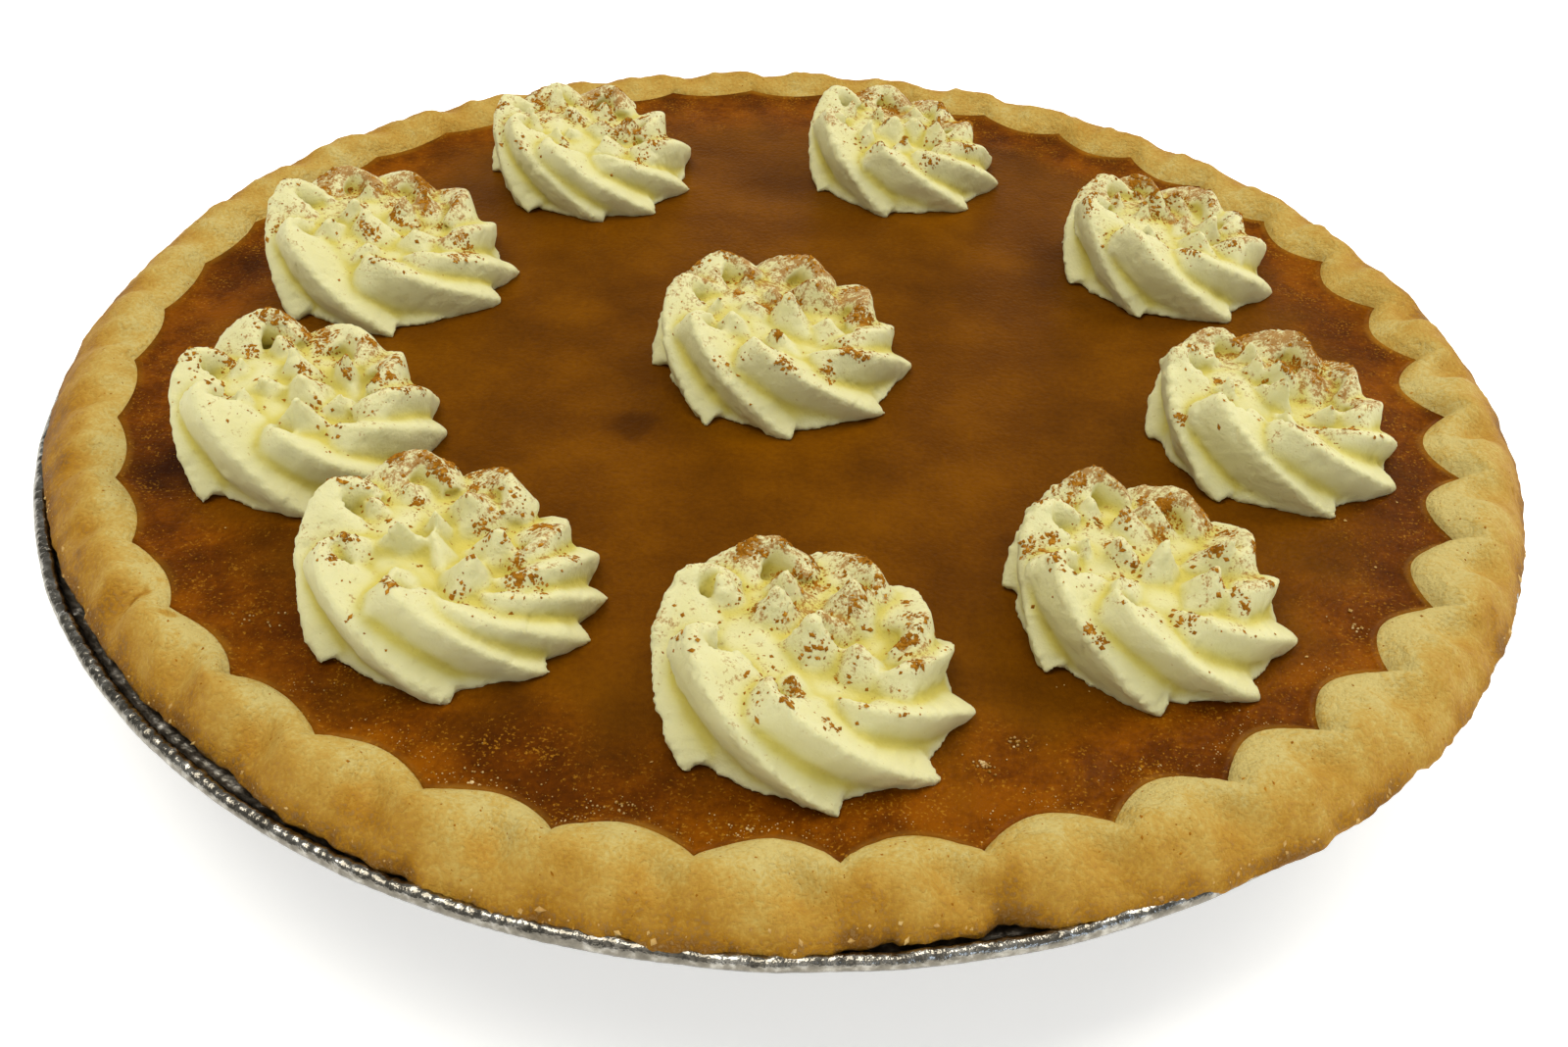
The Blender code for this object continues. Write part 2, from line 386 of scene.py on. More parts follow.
# %% [markdown]
# ## Foil tin
#
# A pie tin is pressed from aluminium foil about a tenth of a millimetre thick. Pressing a flat disc
# into a dish gathers the wall into fine pleats, and the edge is rolled into a bead, which the press
# crimps. Only the bead and a sliver of flange show, and they are what gives the tin its sparkle, so the
# crimps are modelled as shape. A bead could be a torus with a bump map, but its outline would stay too
# smooth.

# %% Pressed foil
def foil_finish():
    """Bright pressed aluminium: grey metal with fine rolling grain and small creases."""
    made, tree = new_finish("pressed_aluminium_foil")
    place = add(tree, "ShaderNodeTexCoord").outputs["Object"]
    # Creases left by pressing are one to three millimetres apart.
    creases = add(tree, "ShaderNodeTexNoise", {"Vector": place, "Scale": 520.0, "Detail": 3.0, "Roughness": 0.6})
    # The wall is drawn smooth, so it shows a quarter of the creasing of the rolled rim.
    rolled = add(tree, "ShaderNodeAttribute", attribute_name="rolled").outputs["Fac"]
    amount = add(tree, "ShaderNodeMapRange", {"Value": rolled, "To Min": 0.25, "To Max": 1.0})
    centred = add(tree, "ShaderNodeMath", {0: creases.outputs["Fac"], 1: 0.5}, operation="SUBTRACT")
    crease = add(tree, "ShaderNodeMath", {0: centred.outputs[0], 1: amount.outputs[0], 2: 0.5}, operation="MULTIPLY_ADD")
    tone = ramp(tree, crease.outputs[0], [(0.3, "#646056"), (0.5, "#847F74"), (0.72, "#C2BFB6")])
    # Baking leaves the metal a little dull in patches, and the flange is dull with fat from the pastry.
    flange = add(tree, "ShaderNodeAttribute", attribute_name="flange").outputs["Fac"]
    greased = add(tree, "ShaderNodeMath", {0: flange, 1: 0.22, 2: 0.12}, operation="MULTIPLY_ADD")
    dull = add(tree, "ShaderNodeMath", {0: creases.outputs["Fac"], 1: 0.16, 2: greased.outputs[0]}, operation="MULTIPLY_ADD")
    bump = add(tree, "ShaderNodeBump", {
        "Height": crease.outputs[0], "Strength": 0.7, "Distance": 0.0005,
    })
    shader = add(tree, "ShaderNodeBsdfPrincipled", {
        "Base Color": tone,
        "Metallic": 1.0,
        "Roughness": dull.outputs[0],
        "Normal": bump.outputs["Normal"],
    })
    add(tree, "ShaderNodeOutputMaterial", {"Surface": shader.outputs[0]})
    return made


# %% Tin
TIN_RADIUS = (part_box("tin")[1][0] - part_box("tin")[0][0]) / 2.0
TIN_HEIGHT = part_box("tin")[1][2]
BASE_RADIUS = 96.0 * MM
FOIL = 0.3 * MM
BEAD = 1.2 * MM                          # radius of the rolled edge
FLANGE_INNER = 117.0 * MM
CRIMPS = 460                             # one crimp every 1.7 mm
PLEATS = 160


def rim_pull(azimuth):
    """The thin rim is pressed in a little at the right and the front right."""
    front_right = hump(wrapped(azimuth - math.radians(308.0), 2.0 * math.pi), math.radians(20.0))
    right = hump(wrapped(azimuth - math.radians(5.0), 2.0 * math.pi), math.radians(55.0))
    return 0.9 * MM * front_right + 0.5 * MM * right


def build_tin():
    """The pan: base, pleated wall, flange and crimped bead."""
    columns = CRIMPS * 4
    azimuth = 2.0 * math.pi * np.arange(columns) / columns
    bead_out = TIN_RADIUS - BEAD
    bead_up = TIN_HEIGHT - BEAD
    flange = bead_up - 0.4 * BEAD
    # radius, height, share of the wall's pleats, share of the bead's crimps
    section = [(92.0 * MM, 0.0, 0.0, 0.0), (94.6 * MM, 0.1 * MM, 0.0, 0.0), (BASE_RADIUS, 1.2 * MM, 0.4, 0.0)]
    section += [(BASE_RADIUS + (FLANGE_INNER - BASE_RADIUS) * s, 1.2 * MM + (flange - 1.5 * MM) * s, 1.0, 0.0)
                for s in (0.1, 0.3, 0.5, 0.7, 0.9)]
    section += [(FLANGE_INNER, flange - FOIL, 0.6, 0.1), (bead_out - BEAD, flange - FOIL, 0.1, 0.4)]
    for step in range(13):
        turn = math.radians(-125.0 + 24.0 * step)
        pressed = 0.25 + 0.75 * float(smooth((math.degrees(turn) - 15.0) / 45.0))
        section.append((bead_out + BEAD * math.cos(turn), bead_up + BEAD * math.sin(turn), 0.0, pressed))
    section += [(bead_out - BEAD - step * MM, flange, 0.1, 0.9) for step in (0.2, 1.0, 2.0, 3.2, 4.6)]
    section += [(FLANGE_INNER - 0.2 * MM, flange, 0.6, 0.0), (BASE_RADIUS - 0.3 * MM, 1.4 * MM, 0.6, 0.0)]
    section += [(94.2 * MM, FOIL, 0.0, 0.0)]
    shape = np.array(section)
    radius, height, pleat, crimp = [shape[:, column, None] for column in range(4)]
    flat = ring_points(radius, azimuth[None, :], height)
    wander = rough(ring_points(0.12, azimuth, 0.0), 9.0 * MM, 3, 11)
    pinch = np.abs(np.sin(CRIMPS / 2.0 * azimuth + 4.5 * wander)) ** 1.6
    uneven = rough(flat, 2.2 * MM, 2, 17)
    depth = 0.55 + 0.45 * rough(ring_points(0.12, azimuth, 0.03), 5.0 * MM, 2, 19)
    calm = 1.0 - 0.65 * hump(wrapped(azimuth - math.radians(305.0), 2.0 * math.pi), math.radians(26.0))
    swell = crimp * (0.26 * pinch * depth * calm - 0.10 + 0.12 * uneven) * MM
    from_bead = np.stack(np.broadcast_arrays(radius - bead_out, height - bead_up), axis=-1)
    from_bead = from_bead / np.maximum(np.linalg.norm(from_bead, axis=-1, keepdims=True), 1e-9)
    wave = pleat * 0.35 * MM * np.abs(np.sin(PLEATS / 2.0 * azimuth + 0.5 * wander))
    out = radius + swell * from_bead[..., 0] - wave + 0.15 * MM * crimp ** 0.2 * wander
    out = out - rim_pull(azimuth) * smooth((radius - 0.110) / 0.014)
    flat_part = (radius < bead_out - BEAD) & (radius > FLANGE_INNER) & (height > bead_up - BEAD)
    up = height + np.where(flat_part, swell, swell * from_bead[..., 1]) + crimp * 0.3 * MM * rough(ring_points(0.12, azimuth, 0.02), 0.02, 3, 23)
    rings = ring_points(out, azimuth[None, :], np.maximum(up, 0.0))
    flat_mark = np.broadcast_to(flat_part, rings.shape[:2]).astype(float)
    rolled = np.broadcast_to(np.minimum(1.0, 3.0 * crimp), rings.shape[:2])
    tin = skin("pressed_tin", rings, (0, 0, 0), (0, 0, FOIL), foil_finish(), {"flange": flat_mark, "rolled": rolled})
    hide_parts("tin")
    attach(tin, "root")


build_tin()

# %% [markdown]
# ## Crust
#
# The crust is shortcrust pastry, rolled out, laid in the tin and folded under at the rim before it
# is pinched. Seen close up, a flute has a pillow lobe with a steep rounded face where it meets the
# custard, a crease that runs out from each notch, a hollow where the thumb pressed, and beyond the
# crest a fall to a thin ragged edge. All of these can be written as heights over azimuth and
# radius, so the top is one height field. Sculpting by hand would give the same result, but it
# couldn't be repeated.

# %% Shape of the rim
PLATEAU = 3.5 * MM                       # crest of the rim over the custard
RIM_CREST = 117.5 * MM
EDGE_LEVEL = -3.4 * MM
# azimuth in degrees and radius in mm of the pastry's outer edge about the pie's middle
EDGE = np.array([
    (-20, 125.5), (-8, 126.3), (15, 127.0), (30, 127.2), (60, 127.2), (90, 125.4), (120, 126.2), (140, 127.6), (156, 128.3),
    (172, 127.4), (194, 126.6), (205, 125.2), (221, 124.0), (232, 123.6), (243, 125.0), (256, 125.8),
    (270, 125.7), (277, 124.7), (283, 123.9), (288, 124.5), (293, 125.3), (298, 125.8), (304, 126.0),
    (311, 125.8), (318, 126.0), (328, 125.6), (340, 125.5), (352, 126.3), (375, 127.0), (390, 127.2),
])


def crust_edge(azimuth):
    """Outer edge of the pastry about the pie's middle, and its level: it droops over the tin on the right."""
    outline = curve_through(np.degrees(azimuth) % 360.0, EDGE[:, 0], EDGE[:, 1]) * MM
    droop = smooth(0.45 + 1.3 * np.cos(azimuth))
    low = hump(wrapped(azimuth - math.radians(299.0), 2.0 * math.pi), math.radians(12.0))
    return outline, EDGE_LEVEL - 0.5 * MM * droop - 0.4 * MM * low


def crust_relief(place, number, radius, azimuth, start, edge, level):
    """Height of the pastry's top over the custard, before the fine roughness."""
    depth = radius - start
    own = flute_noise(number, 9)
    front = smooth(0.55 - 0.8 * np.sin(azimuth) + 0.25 * np.cos(azimuth))
    slope = np.sin(0.5 * math.pi * np.clip(depth / (11.0 * MM), 0.0, 1.0)) ** 0.6
    crease = np.sin(0.5 * math.pi * np.clip(depth / (5.5 * MM), 0.0, 1.0)) ** 0.95
    height = -0.4 * MM + (PLATEAU + 0.4 * MM) * (crease + (slope - crease) * (1.0 - (1.0 - lobe(place)) * (0.55 + 0.45 * front)))
    beyond = np.clip((radius - RIM_CREST) / (edge - RIM_CREST), 0.0, 1.0)
    height -= (PLATEAU - level) * beyond ** 1.6
    thumb = 0.66 + 0.022 * (radius / MM - 116.0) + 0.05 * flute_noise(number, 6)
    hollow = hump(wrapped(place - thumb), 0.19) * hump(radius - 118.6 * MM, 3.6 * MM)
    bulge = hump(wrapped(place - 0.10), 0.17) * smooth((depth - 3.0 * MM) / (3.0 * MM))
    bulge = bulge * (1.0 - smooth((radius - 121.0 * MM) / (4.0 * MM)))
    ridge = hump(wrapped(place - 0.46), 0.07) * smooth((radius - 113.0 * MM) / (3.0 * MM))
    height -= (2.7 + 0.6 * own) * MM * hollow * (0.35 + 0.65 * front)
    height += 0.6 * MM * bulge + 0.5 * MM * ridge * (1.0 - beyond)
    lifted = hump(wrapped(azimuth - math.radians(150.0), 2.0 * math.pi), math.radians(22.0))
    height += 1.2 * MM * lifted * smooth(depth / (4.0 * MM))
    return height


# %% Skin of the crust
CRUST_PER_FLUTE = 26
CRUST_TOP_RINGS = 58


def crust_top_rings(azimuth, place, number, edge, level):
    """Rings from the custard's edge out to the ragged outer edge, and how baked each point is."""
    start = inner_radius(place, number, azimuth)
    share = np.linspace(0.0, 1.0, CRUST_TOP_RINGS)[:, None] ** 1.12
    radius = start + (edge - start) * share
    height = crust_relief(place, number, radius, azimuth, start, edge, level)
    rings = ring_points(radius, azimuth, SURFACE + height, PIE_MIDDLE)
    grain = 0.34 * rough(rings, 7.0 * MM, 2, 31) + 0.15 * rough(rings, 1.6 * MM, 2, 35)
    rings = rings + skin_normals(rings[:, :, :]) * (-1.0) * (grain * MM * smooth(share * 9.0))[..., None]
    return rings, radius, height


def build_crust():
    """One pastry case: under the rim, down inside the tin, and fluted on top."""
    azimuth, place, number = flute_columns(CRUST_PER_FLUTE)
    base_edge, level = crust_edge(azimuth)
    line = ring_points(0.12, azimuth, 0.0)
    front = smooth((-np.sin(azimuth) - 0.3) / 0.5)
    ragged = (0.10 + 0.45 * front) * rough(line, 4.0 * MM, 4, 41)
    broken = hump(wrapped(azimuth - math.radians(282.0), 2.0 * math.pi), math.radians(9.0))
    bites = smooth((rough(line, 6.0 * MM, 3, 47) + 0.25) * 1.6) * broken
    edge = base_edge + ragged * MM - (0.7 + 0.5 * rough(line, 1.6 * MM, 2, 49)) * MM * bites
    level = level + 0.9 * MM * broken + (0.2 + 0.3 * front) * MM * rough(line, 9.0 * MM, 3, 43)
    top, radius, height = crust_top_rings(azimuth, place, number, edge, level)
    flange = TIN_HEIGHT - 1.4 * BEAD
    zero = np.zeros_like(azimuth)
    under = [
        ring_points(90.0 * MM + zero, azimuth, 0.6 * MM),
        ring_points(94.0 * MM + zero, azimuth, 0.7 * MM),
        ring_points(116.2 * MM + zero, azimuth, flange + 0.3 * MM),
        ring_points(base_edge - 3.4 * MM, azimuth, flange + 0.5 * MM, PIE_MIDDLE),
    ]
    outer_x = ring_points(edge, azimuth, SURFACE + level, PIE_MIDDLE)
    for inset, drop in ((2.0, 1.9), (0.8, 1.5), (0.1, 1.0), (-0.1, 0.5)):
        flake = 0.28 * rough(outer_x + drop, 2.4 * MM, 2, 53)
        under.append(ring_points(edge - (inset + flake) * MM, azimuth, SURFACE + level - drop * MM, PIE_MIDDLE))
    mouth = ring_points(inner_radius(place, number, azimuth), azimuth, SURFACE - 0.9 * MM, PIE_MIDDLE)
    inside = [
        mouth,
        ring_points(109.0 * MM + zero, azimuth, SURFACE - 7.0 * MM),
        ring_points(91.5 * MM + zero, azimuth, 4.6 * MM),
    ]
    rings = np.concatenate([np.stack(under), top[::-1], np.stack(inside)])
    before = len(under)
    count = len(rings)
    out = np.zeros((count, len(azimuth)))
    out[before:before + CRUST_TOP_RINGS] = ((radius - inner_radius(place, number, azimuth)) / (edge - inner_radius(place, number, azimuth)))[::-1]
    # The pastry folded under counts as fully outward, so it takes the edge's browning and its painted shade.
    out[:before] = 1.0
    crest = np.zeros_like(out)
    crest[before:before + CRUST_TOP_RINGS] = (height / PLATEAU)[::-1]
    # The browning mark also carries painted shade for the finish.
    browned_and_shaded = browning_and_shade(rings, out, crest, place, azimuth)
    crust = skin("shortcrust_case", rings, (0, 0, 0.6 * MM), (0, 0, 4.6 * MM), pastry_finish(), {"baked": browned_and_shaded, "outward": out})
    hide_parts("crust")
    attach(crust, "root")
    ways = -skin_normals(top)
    return top.reshape(-1, 3), ways.reshape(-1, 3)


# x and y in mm and radius in mm of small spots where custard splashed on the rim and caught
BROWN_SPOTS = [(-82.9, -80.6, 1.8), (-90.8, -71.1, 1.6), (-86.5, -76.5, 1.1)]


def browning_and_shade(rings, out, crest, place, azimuth):
    """0 for pale pastry to 1 for deep brown: thin outer pastry and high spots brown first, and painted shade darkens
    the hollows, the edge, the left slopes and the far side.
    """
    value = 0.12 + 0.50 * smooth((out - 0.22) / 0.7)
    # The thin pastry at the very edge browns most, and this step also paints shade on the edge's cut face and on the
    # pastry folded under.
    value += 0.28 * smooth((out - 0.86) / 0.14)
    # Painted shade: the thumb hollows are painted browner, on top of the real shading of their dents.
    value += 0.13 * hump(wrapped(place - 0.68), 0.15) * hump(out - 0.6, 0.3)
    for x, y, size in BROWN_SPOTS:
        away = np.hypot(rings[..., 0] - x * MM, rings[..., 1] - y * MM)
        value += 0.5 * smooth(1.2 - away / (size * MM) + 1.1 * rough(rings, 2.0 * MM, 3, 69))
    # Painted shade: the far side of the rim, most at the back right, is painted darker.
    value += 0.22 * smooth(0.40 + 0.8 * np.cos(azimuth - math.radians(75.0)))
    # Painted shade: the outer slopes on the left are painted darker.
    left = hump(wrapped(azimuth - math.radians(205.0), 2.0 * math.pi), math.radians(25.0))
    value += 0.10 * left * smooth((out - 0.3) / 0.3)
    value -= 0.15 * hump(wrapped(azimuth - math.radians(328.0), 2.0 * math.pi), math.radians(36.0))
    value += 0.14 * hump(wrapped(place - 0.08), 0.2) * smooth((out - 0.2) / 0.3)
    value -= 0.12 * hump(wrapped(place - 0.47), 0.09)
    value += 0.14 * rough(rings, 12.0 * MM, 3, 61) + 0.09 * rough(rings, 2.6 * MM, 2, 67)
    return np.clip(value, 0.0, 1.0)


# %% [markdown]
# ### Baked pastry
#
# Shortcrust is a dry crumb of flour and fat. Baking browns it from pale straw through gold to toffee,
# most where it is thin or stands proud. The same colour scale also carries painted shade, darker in the
# hollows, at the edge, on the left slopes and on the far side. The surface has a fine floury grain with a
# faint sheen of fat, so it is rough but not chalky.

# %% Baked shortcrust
def pastry_finish():
    """Baked shortcrust: colour from how browned each point is, with painted shade carried in the same mark, plus fine
    grain and specks.
    """
    made, tree = new_finish("baked_shortcrust")
    place = add(tree, "ShaderNodeTexCoord").outputs["Object"]
    # The baked mark holds the pastry's browning and its painted shade together.
    baked = add(tree, "ShaderNodeAttribute", attribute_name="baked").outputs["Fac"]
    # Grains of flour and fat are about half a millimetre across.
    grain = add(tree, "ShaderNodeTexNoise", {"Vector": place, "Scale": 1500.0, "Detail": 3.0, "Roughness": 0.6})
    blotch = add(tree, "ShaderNodeTexNoise", {"Vector": place, "Scale": 260.0, "Detail": 4.0, "Roughness": 0.65})
    shift = add(tree, "ShaderNodeMath", {0: grain.outputs["Fac"], 1: 0.90, 2: baked}, operation="MULTIPLY_ADD")
    shift = add(tree, "ShaderNodeMath", {0: blotch.outputs["Fac"], 1: 0.34, 2: shift.outputs[0]}, operation="MULTIPLY_ADD")
    shift = add(tree, "ShaderNodeMath", {0: shift.outputs[0], 1: 0.62}, operation="SUBTRACT")
    tone = ramp(tree, shift.outputs[0], [
        (0.0, "#C9B671"), (0.25, "#C1A251"), (0.5, "#B88F38"), (0.75, "#A67518"), (1.0, "#7C500E"),
    ])
    # Bubbles in the pastry are pinholes about a millimetre apart.
    height = add(tree, "ShaderNodeMath", {0: blotch.outputs["Fac"], 1: 0.6, 2: grain.outputs["Fac"]}, operation="MULTIPLY_ADD")
    bump = add(tree, "ShaderNodeBump", {"Height": height.outputs[0], "Strength": 0.9, "Distance": 0.0006})
    # Dusting flour and flaked fat leave pale specks and crumbs, most of them where the pastry is brown.
    specks = add(tree, "ShaderNodeTexNoise", {"Vector": place, "Scale": 1500.0, "Detail": 5.0, "Roughness": 0.75})
    chosen = add(tree, "ShaderNodeMapRange", {
        "Value": specks.outputs["Fac"], "From Min": 0.50, "From Max": 0.68, "To Min": 0.0, "To Max": 0.26,
    })
    share = add(tree, "ShaderNodeMath", {0: chosen.outputs[0], 1: baked}, operation="MULTIPLY")
    floury = add(tree, "ShaderNodeMix", {"Factor": share.outputs[0], 6: tone, 7: linear("#DFC486")}, data_type="RGBA")
    shader = add(tree, "ShaderNodeBsdfPrincipled", {
        "Base Color": floury.outputs[2],
        "Roughness": 0.65,
        "IOR": 1.45,
        "Specular IOR Level": 0.15,
        "Normal": bump.outputs["Normal"],
    })
    add(tree, "ShaderNodeOutputMaterial", {"Surface": shader.outputs[0]})
    return made


crust_top, crust_ways = build_crust()

# %% [markdown]
# ## Custard
#
# Pumpkin custard is poured in hot and sets level. It climbs a hair up the pastry where it touches,
# and baking leaves it slightly uneven, darker and redder near the rim, with pinprick bubbles and a
# blister. The skin is a disc whose rings change from circles in the middle to the scalloped line of
# the crust at the edge.

# %% Set custard
def custard_finish():
    """Set pumpkin custard: dense red-brown with a smooth skin and a soft low shine, plus painted gold glints near the
    rim and along the pastry.
    """
    made, tree = new_finish("set_pumpkin_custard")
    place = add(tree, "ShaderNodeTexCoord").outputs["Object"]
    rim = add(tree, "ShaderNodeAttribute", attribute_name="rim").outputs["Fac"]
    edge_glint = add(tree, "ShaderNodeAttribute", attribute_name="edge_glint").outputs["Fac"]
    cloud = add(tree, "ShaderNodeTexNoise", {"Vector": place, "Scale": 55.0, "Detail": 4.0, "Roughness": 0.55})
    fine = add(tree, "ShaderNodeTexNoise", {"Vector": place, "Scale": 1100.0, "Detail": 3.0, "Roughness": 0.6})
    mottle = add(tree, "ShaderNodeTexNoise", {"Vector": place, "Scale": 150.0, "Detail": 3.0, "Roughness": 0.6})
    blend = add(tree, "ShaderNodeMath", {0: fine.outputs["Fac"], 1: 0.40, 2: cloud.outputs["Fac"]}, operation="MULTIPLY_ADD")
    uneven = add(tree, "ShaderNodeMath", {0: mottle.outputs["Fac"], 1: 0.70, 2: blend.outputs[0]}, operation="MULTIPLY_ADD")
    uneven = add(tree, "ShaderNodeMath", {0: uneven.outputs[0], 1: 0.35}, operation="SUBTRACT")
    middle = ramp(tree, blend.outputs[0], [(0.45, "#532D00"), (0.66, "#623700"), (0.9, "#744400")])
    baked = ramp(tree, uneven.outputs[0], [(0.42, "#421D00"), (0.66, "#602F00"), (0.9, "#824600")])
    tone = add(tree, "ShaderNodeMix", {"Factor": rim, 6: middle, 7: baked}, data_type="RGBA")
    burnt = add(tree, "ShaderNodeAttribute", attribute_name="scorched").outputs["Fac"]
    dark = add(tree, "ShaderNodeMix", {"Factor": burnt, 6: tone.outputs[2], 7: linear("#2E1200")}, data_type="RGBA")
    # Painted highlights: gold glints a third of a millimetre across, painted into the colour near the rim.
    specks = add(tree, "ShaderNodeTexNoise", {"Vector": place, "Scale": 2100.0, "Detail": 2.0, "Roughness": 0.5})
    patches = add(tree, "ShaderNodeTexNoise", {"Vector": place, "Scale": 140.0, "Detail": 2.0})
    where = add(tree, "ShaderNodeMath", {0: patches.outputs["Fac"], 1: 0.35, 2: specks.outputs["Fac"]}, operation="MULTIPLY_ADD")
    bright = add(tree, "ShaderNodeMapRange", {
        "Value": where.outputs[0], "From Min": 0.78, "From Max": 0.92, "To Min": 0.0, "To Max": 0.75,
    })
    glint_specks = add(tree, "ShaderNodeMath", {0: bright.outputs[0], 1: rim}, operation="MULTIPLY")
    lit = add(tree, "ShaderNodeMix", {"Factor": glint_specks.outputs[0], 6: dark.outputs[2], 7: linear("#A8741C")}, data_type="RGBA")
    # Painted highlight: a thin gold glint along the line where the custard meets the pastry.
    gold = add(tree, "ShaderNodeMix", {"Factor": edge_glint, 6: lit.outputs[2], 7: linear("#B07A1E")}, data_type="RGBA")
    bump = add(tree, "ShaderNodeBump", {"Height": fine.outputs["Fac"], "Strength": 0.6, "Distance": 0.0003})
    shader = add(tree, "ShaderNodeBsdfPrincipled", {
        "Base Color": gold.outputs[2],
        "Roughness": 0.38,
        "IOR": 1.40,
        "Specular IOR Level": 0.05,
        "Normal": bump.outputs["Normal"],
    })
    add(tree, "ShaderNodeOutputMaterial", {"Surface": shader.outputs[0]})
    return made


# %% Custard
CUSTARD_RINGS = 64
BLISTER = (40.9 * MM, -93.9 * MM)        # about the pie's middle


# x and y about the pie's middle in mm, radius in mm and depth of colour of each patch that caught the heat
SCORCHED = [
    (-96.9, -39.2, 5.5, 0.9), (-26.4, -22.6, 4.0, 0.5), (39.5, -49.3, 5.0, 0.45), (-38.5, -92.2, 6.0, 0.5),
    (-75.3, -58.6, 7.0, 0.45), (-60.0, -84.0, 8.0, 0.35), (84.0, -52.0, 6.0, 0.3),
]


def scorched(flat):
    """0 to 1 where the custard is browned darkest: soft uneven patches."""
    share = np.zeros(flat.shape[:2])
    uneven = 1.0 + 0.5 * rough(flat, 5.0 * MM, 3, 97)
    for x, y, radius, depth in SCORCHED:
        away = np.hypot(flat[..., 0] - PIE_SHIFT - x * MM, flat[..., 1] - y * MM)
        share = np.maximum(share, depth * smooth(1.3 * uneven - away / (radius * MM)))
    return share


def build_custard():
    """The filling: level top with a scalloped edge tucked under the lobes, closed below."""
    azimuth, place, number = flute_columns(12)
    edge = inner_radius(place, number, azimuth) + 0.5 * MM
    inner = 104.0 * MM
    share = np.linspace(0.02, 1.0, CUSTARD_RINGS)[:, None] ** 0.7
    radius = share * inner + (edge - inner) * smooth((share - 0.88) / 0.12)
    gap = edge - radius
    flat = ring_points(radius, azimuth[None, :], SURFACE, PIE_MIDDLE)
    calm = smooth(gap / (6.0 * MM))
    relief = 0.16 * rough(flat, 16.0 * MM, 2, 71) + 0.035 * rough(flat, 2.4 * MM, 2, 73)
    climb = 0.45 * np.exp(-gap / (1.1 * MM))
    from_blister = np.hypot(flat[..., 0] - PIE_SHIFT - BLISTER[0], flat[..., 1] - BLISTER[1])
    blister = 0.55 * smooth(1.0 - from_blister / (5.5 * MM)) * (1.0 + 0.5 * rough(flat, 1.8 * MM, 2, 79))
    top = flat.copy()
    top[..., 2] += (relief * (0.4 + 0.6 * calm) + climb + blister) * MM
    floor = 4.9 * MM
    below = [
        ring_points(60.0 * MM, azimuth, floor),
        ring_points(91.0 * MM, azimuth, floor),
        ring_points(108.6 * MM, azimuth, SURFACE - 7.0 * MM),
        ring_points(edge, azimuth, SURFACE - 0.8 * MM, PIE_MIDDLE),
    ]
    rings = np.concatenate([np.stack(below), top[::-1]])
    rim = smooth(1.25 - gap / (17.0 * MM) + 0.35 * rough(flat, 15.0 * MM, 3, 83))
    rim = np.maximum(rim, smooth(1.1 - from_blister / (6.0 * MM)))
    # Painted highlight: this mark paints a thin gold glint where the custard meets the pastry.
    edge_glint = 0.5 * np.exp(-gap / (0.5 * MM)) * (0.6 + 0.8 * noise(flat, 5.0 * MM, 89))
    edge_marks = [np.ones((4, len(azimuth)))]
    marks = {
        "rim": np.concatenate(edge_marks + [rim[::-1]]),
        "edge_glint": np.concatenate(edge_marks + [np.clip(edge_glint, 0.0, 1.0)[::-1]]),
        "scorched": np.concatenate([np.zeros((4, len(azimuth))), scorched(flat)[::-1]]),
    }
    middle = (PIE_SHIFT, 0.0)
    custard = skin("custard_filling", rings, (*middle, floor), (*middle, SURFACE), custard_finish(), marks)
    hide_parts("filling")
    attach(custard, "root")


build_custard()

# %% [markdown]
# ## Cream rosettes
#
# Whipped cream pressed through a star nozzle comes out as a rope with eight ridges. The hand turns as it
# presses, so each ridge rises from a pointed foot, sweeps round and curls over at the crown, and pulling
# the nozzle away leaves upright peaks in the middle. Each ridge is swept along its own path as a
# soft-edged rope. The ridges, the peaks and a plain dome under them overlap, and a voxel remesh then melts
# them into one closed skin, much as cream flows together. A twisted star extrusion would be simpler,
# but its ridges can't curl over or break off.

# %% Path of a ridge
# place from foot to crown, distance out and height as shares, degrees turned, lean of the crest, thickness
RIDGE = np.array([
    (0.00, 1.01, 0.02, 0.0, 10.0, 0.42),
    (0.12, 1.00, 0.16, 8.0, 18.0, 0.76),
    (0.28, 0.95, 0.42, 21.0, 30.0, 0.95),
    (0.45, 0.88, 0.68, 38.0, 42.0, 1.00),
    (0.60, 0.80, 0.88, 55.0, 58.0, 0.95),
    (0.74, 0.71, 0.97, 67.0, 80.0, 0.80),
    (0.87, 0.60, 0.91, 75.0, 100.0, 0.64),
    (1.00, 0.49, 0.78, 81.0, 112.0, 0.48),
])
RIDGE_WIDTH = 5.2 * MM                   # half width of a ridge
RIDGE_DEPTH = 6.8 * MM                   # from its crest to its middle
LEAN = 2.4 * MM                          # the crown stands a little to the left of the foot
DOME = [(0.89, 0.0), (0.85, 0.11), (0.78, 0.29), (0.68, 0.49), (0.56, 0.61), (0.43, 0.65), (0.24, 0.66)]


def ring_of(points_out, heights, middle, turns):
    """Rings of points about an upright axis, one ring for each distance and height."""
    return ring_points(np.array(points_out)[:, None], turns[None, :], np.array(heights)[:, None], middle)


def soft_diamond(sides, edge):
    """Points round a closed section: a diamond for edge 1, a circle for edge 2."""
    turn = 2.0 * math.pi * np.arange(sides) / sides
    across = np.sign(np.sin(turn)) * np.abs(np.sin(turn)) ** (2.0 / edge)
    along = np.sign(np.cos(turn)) * np.abs(np.cos(turn)) ** (2.0 / edge)
    return across, along


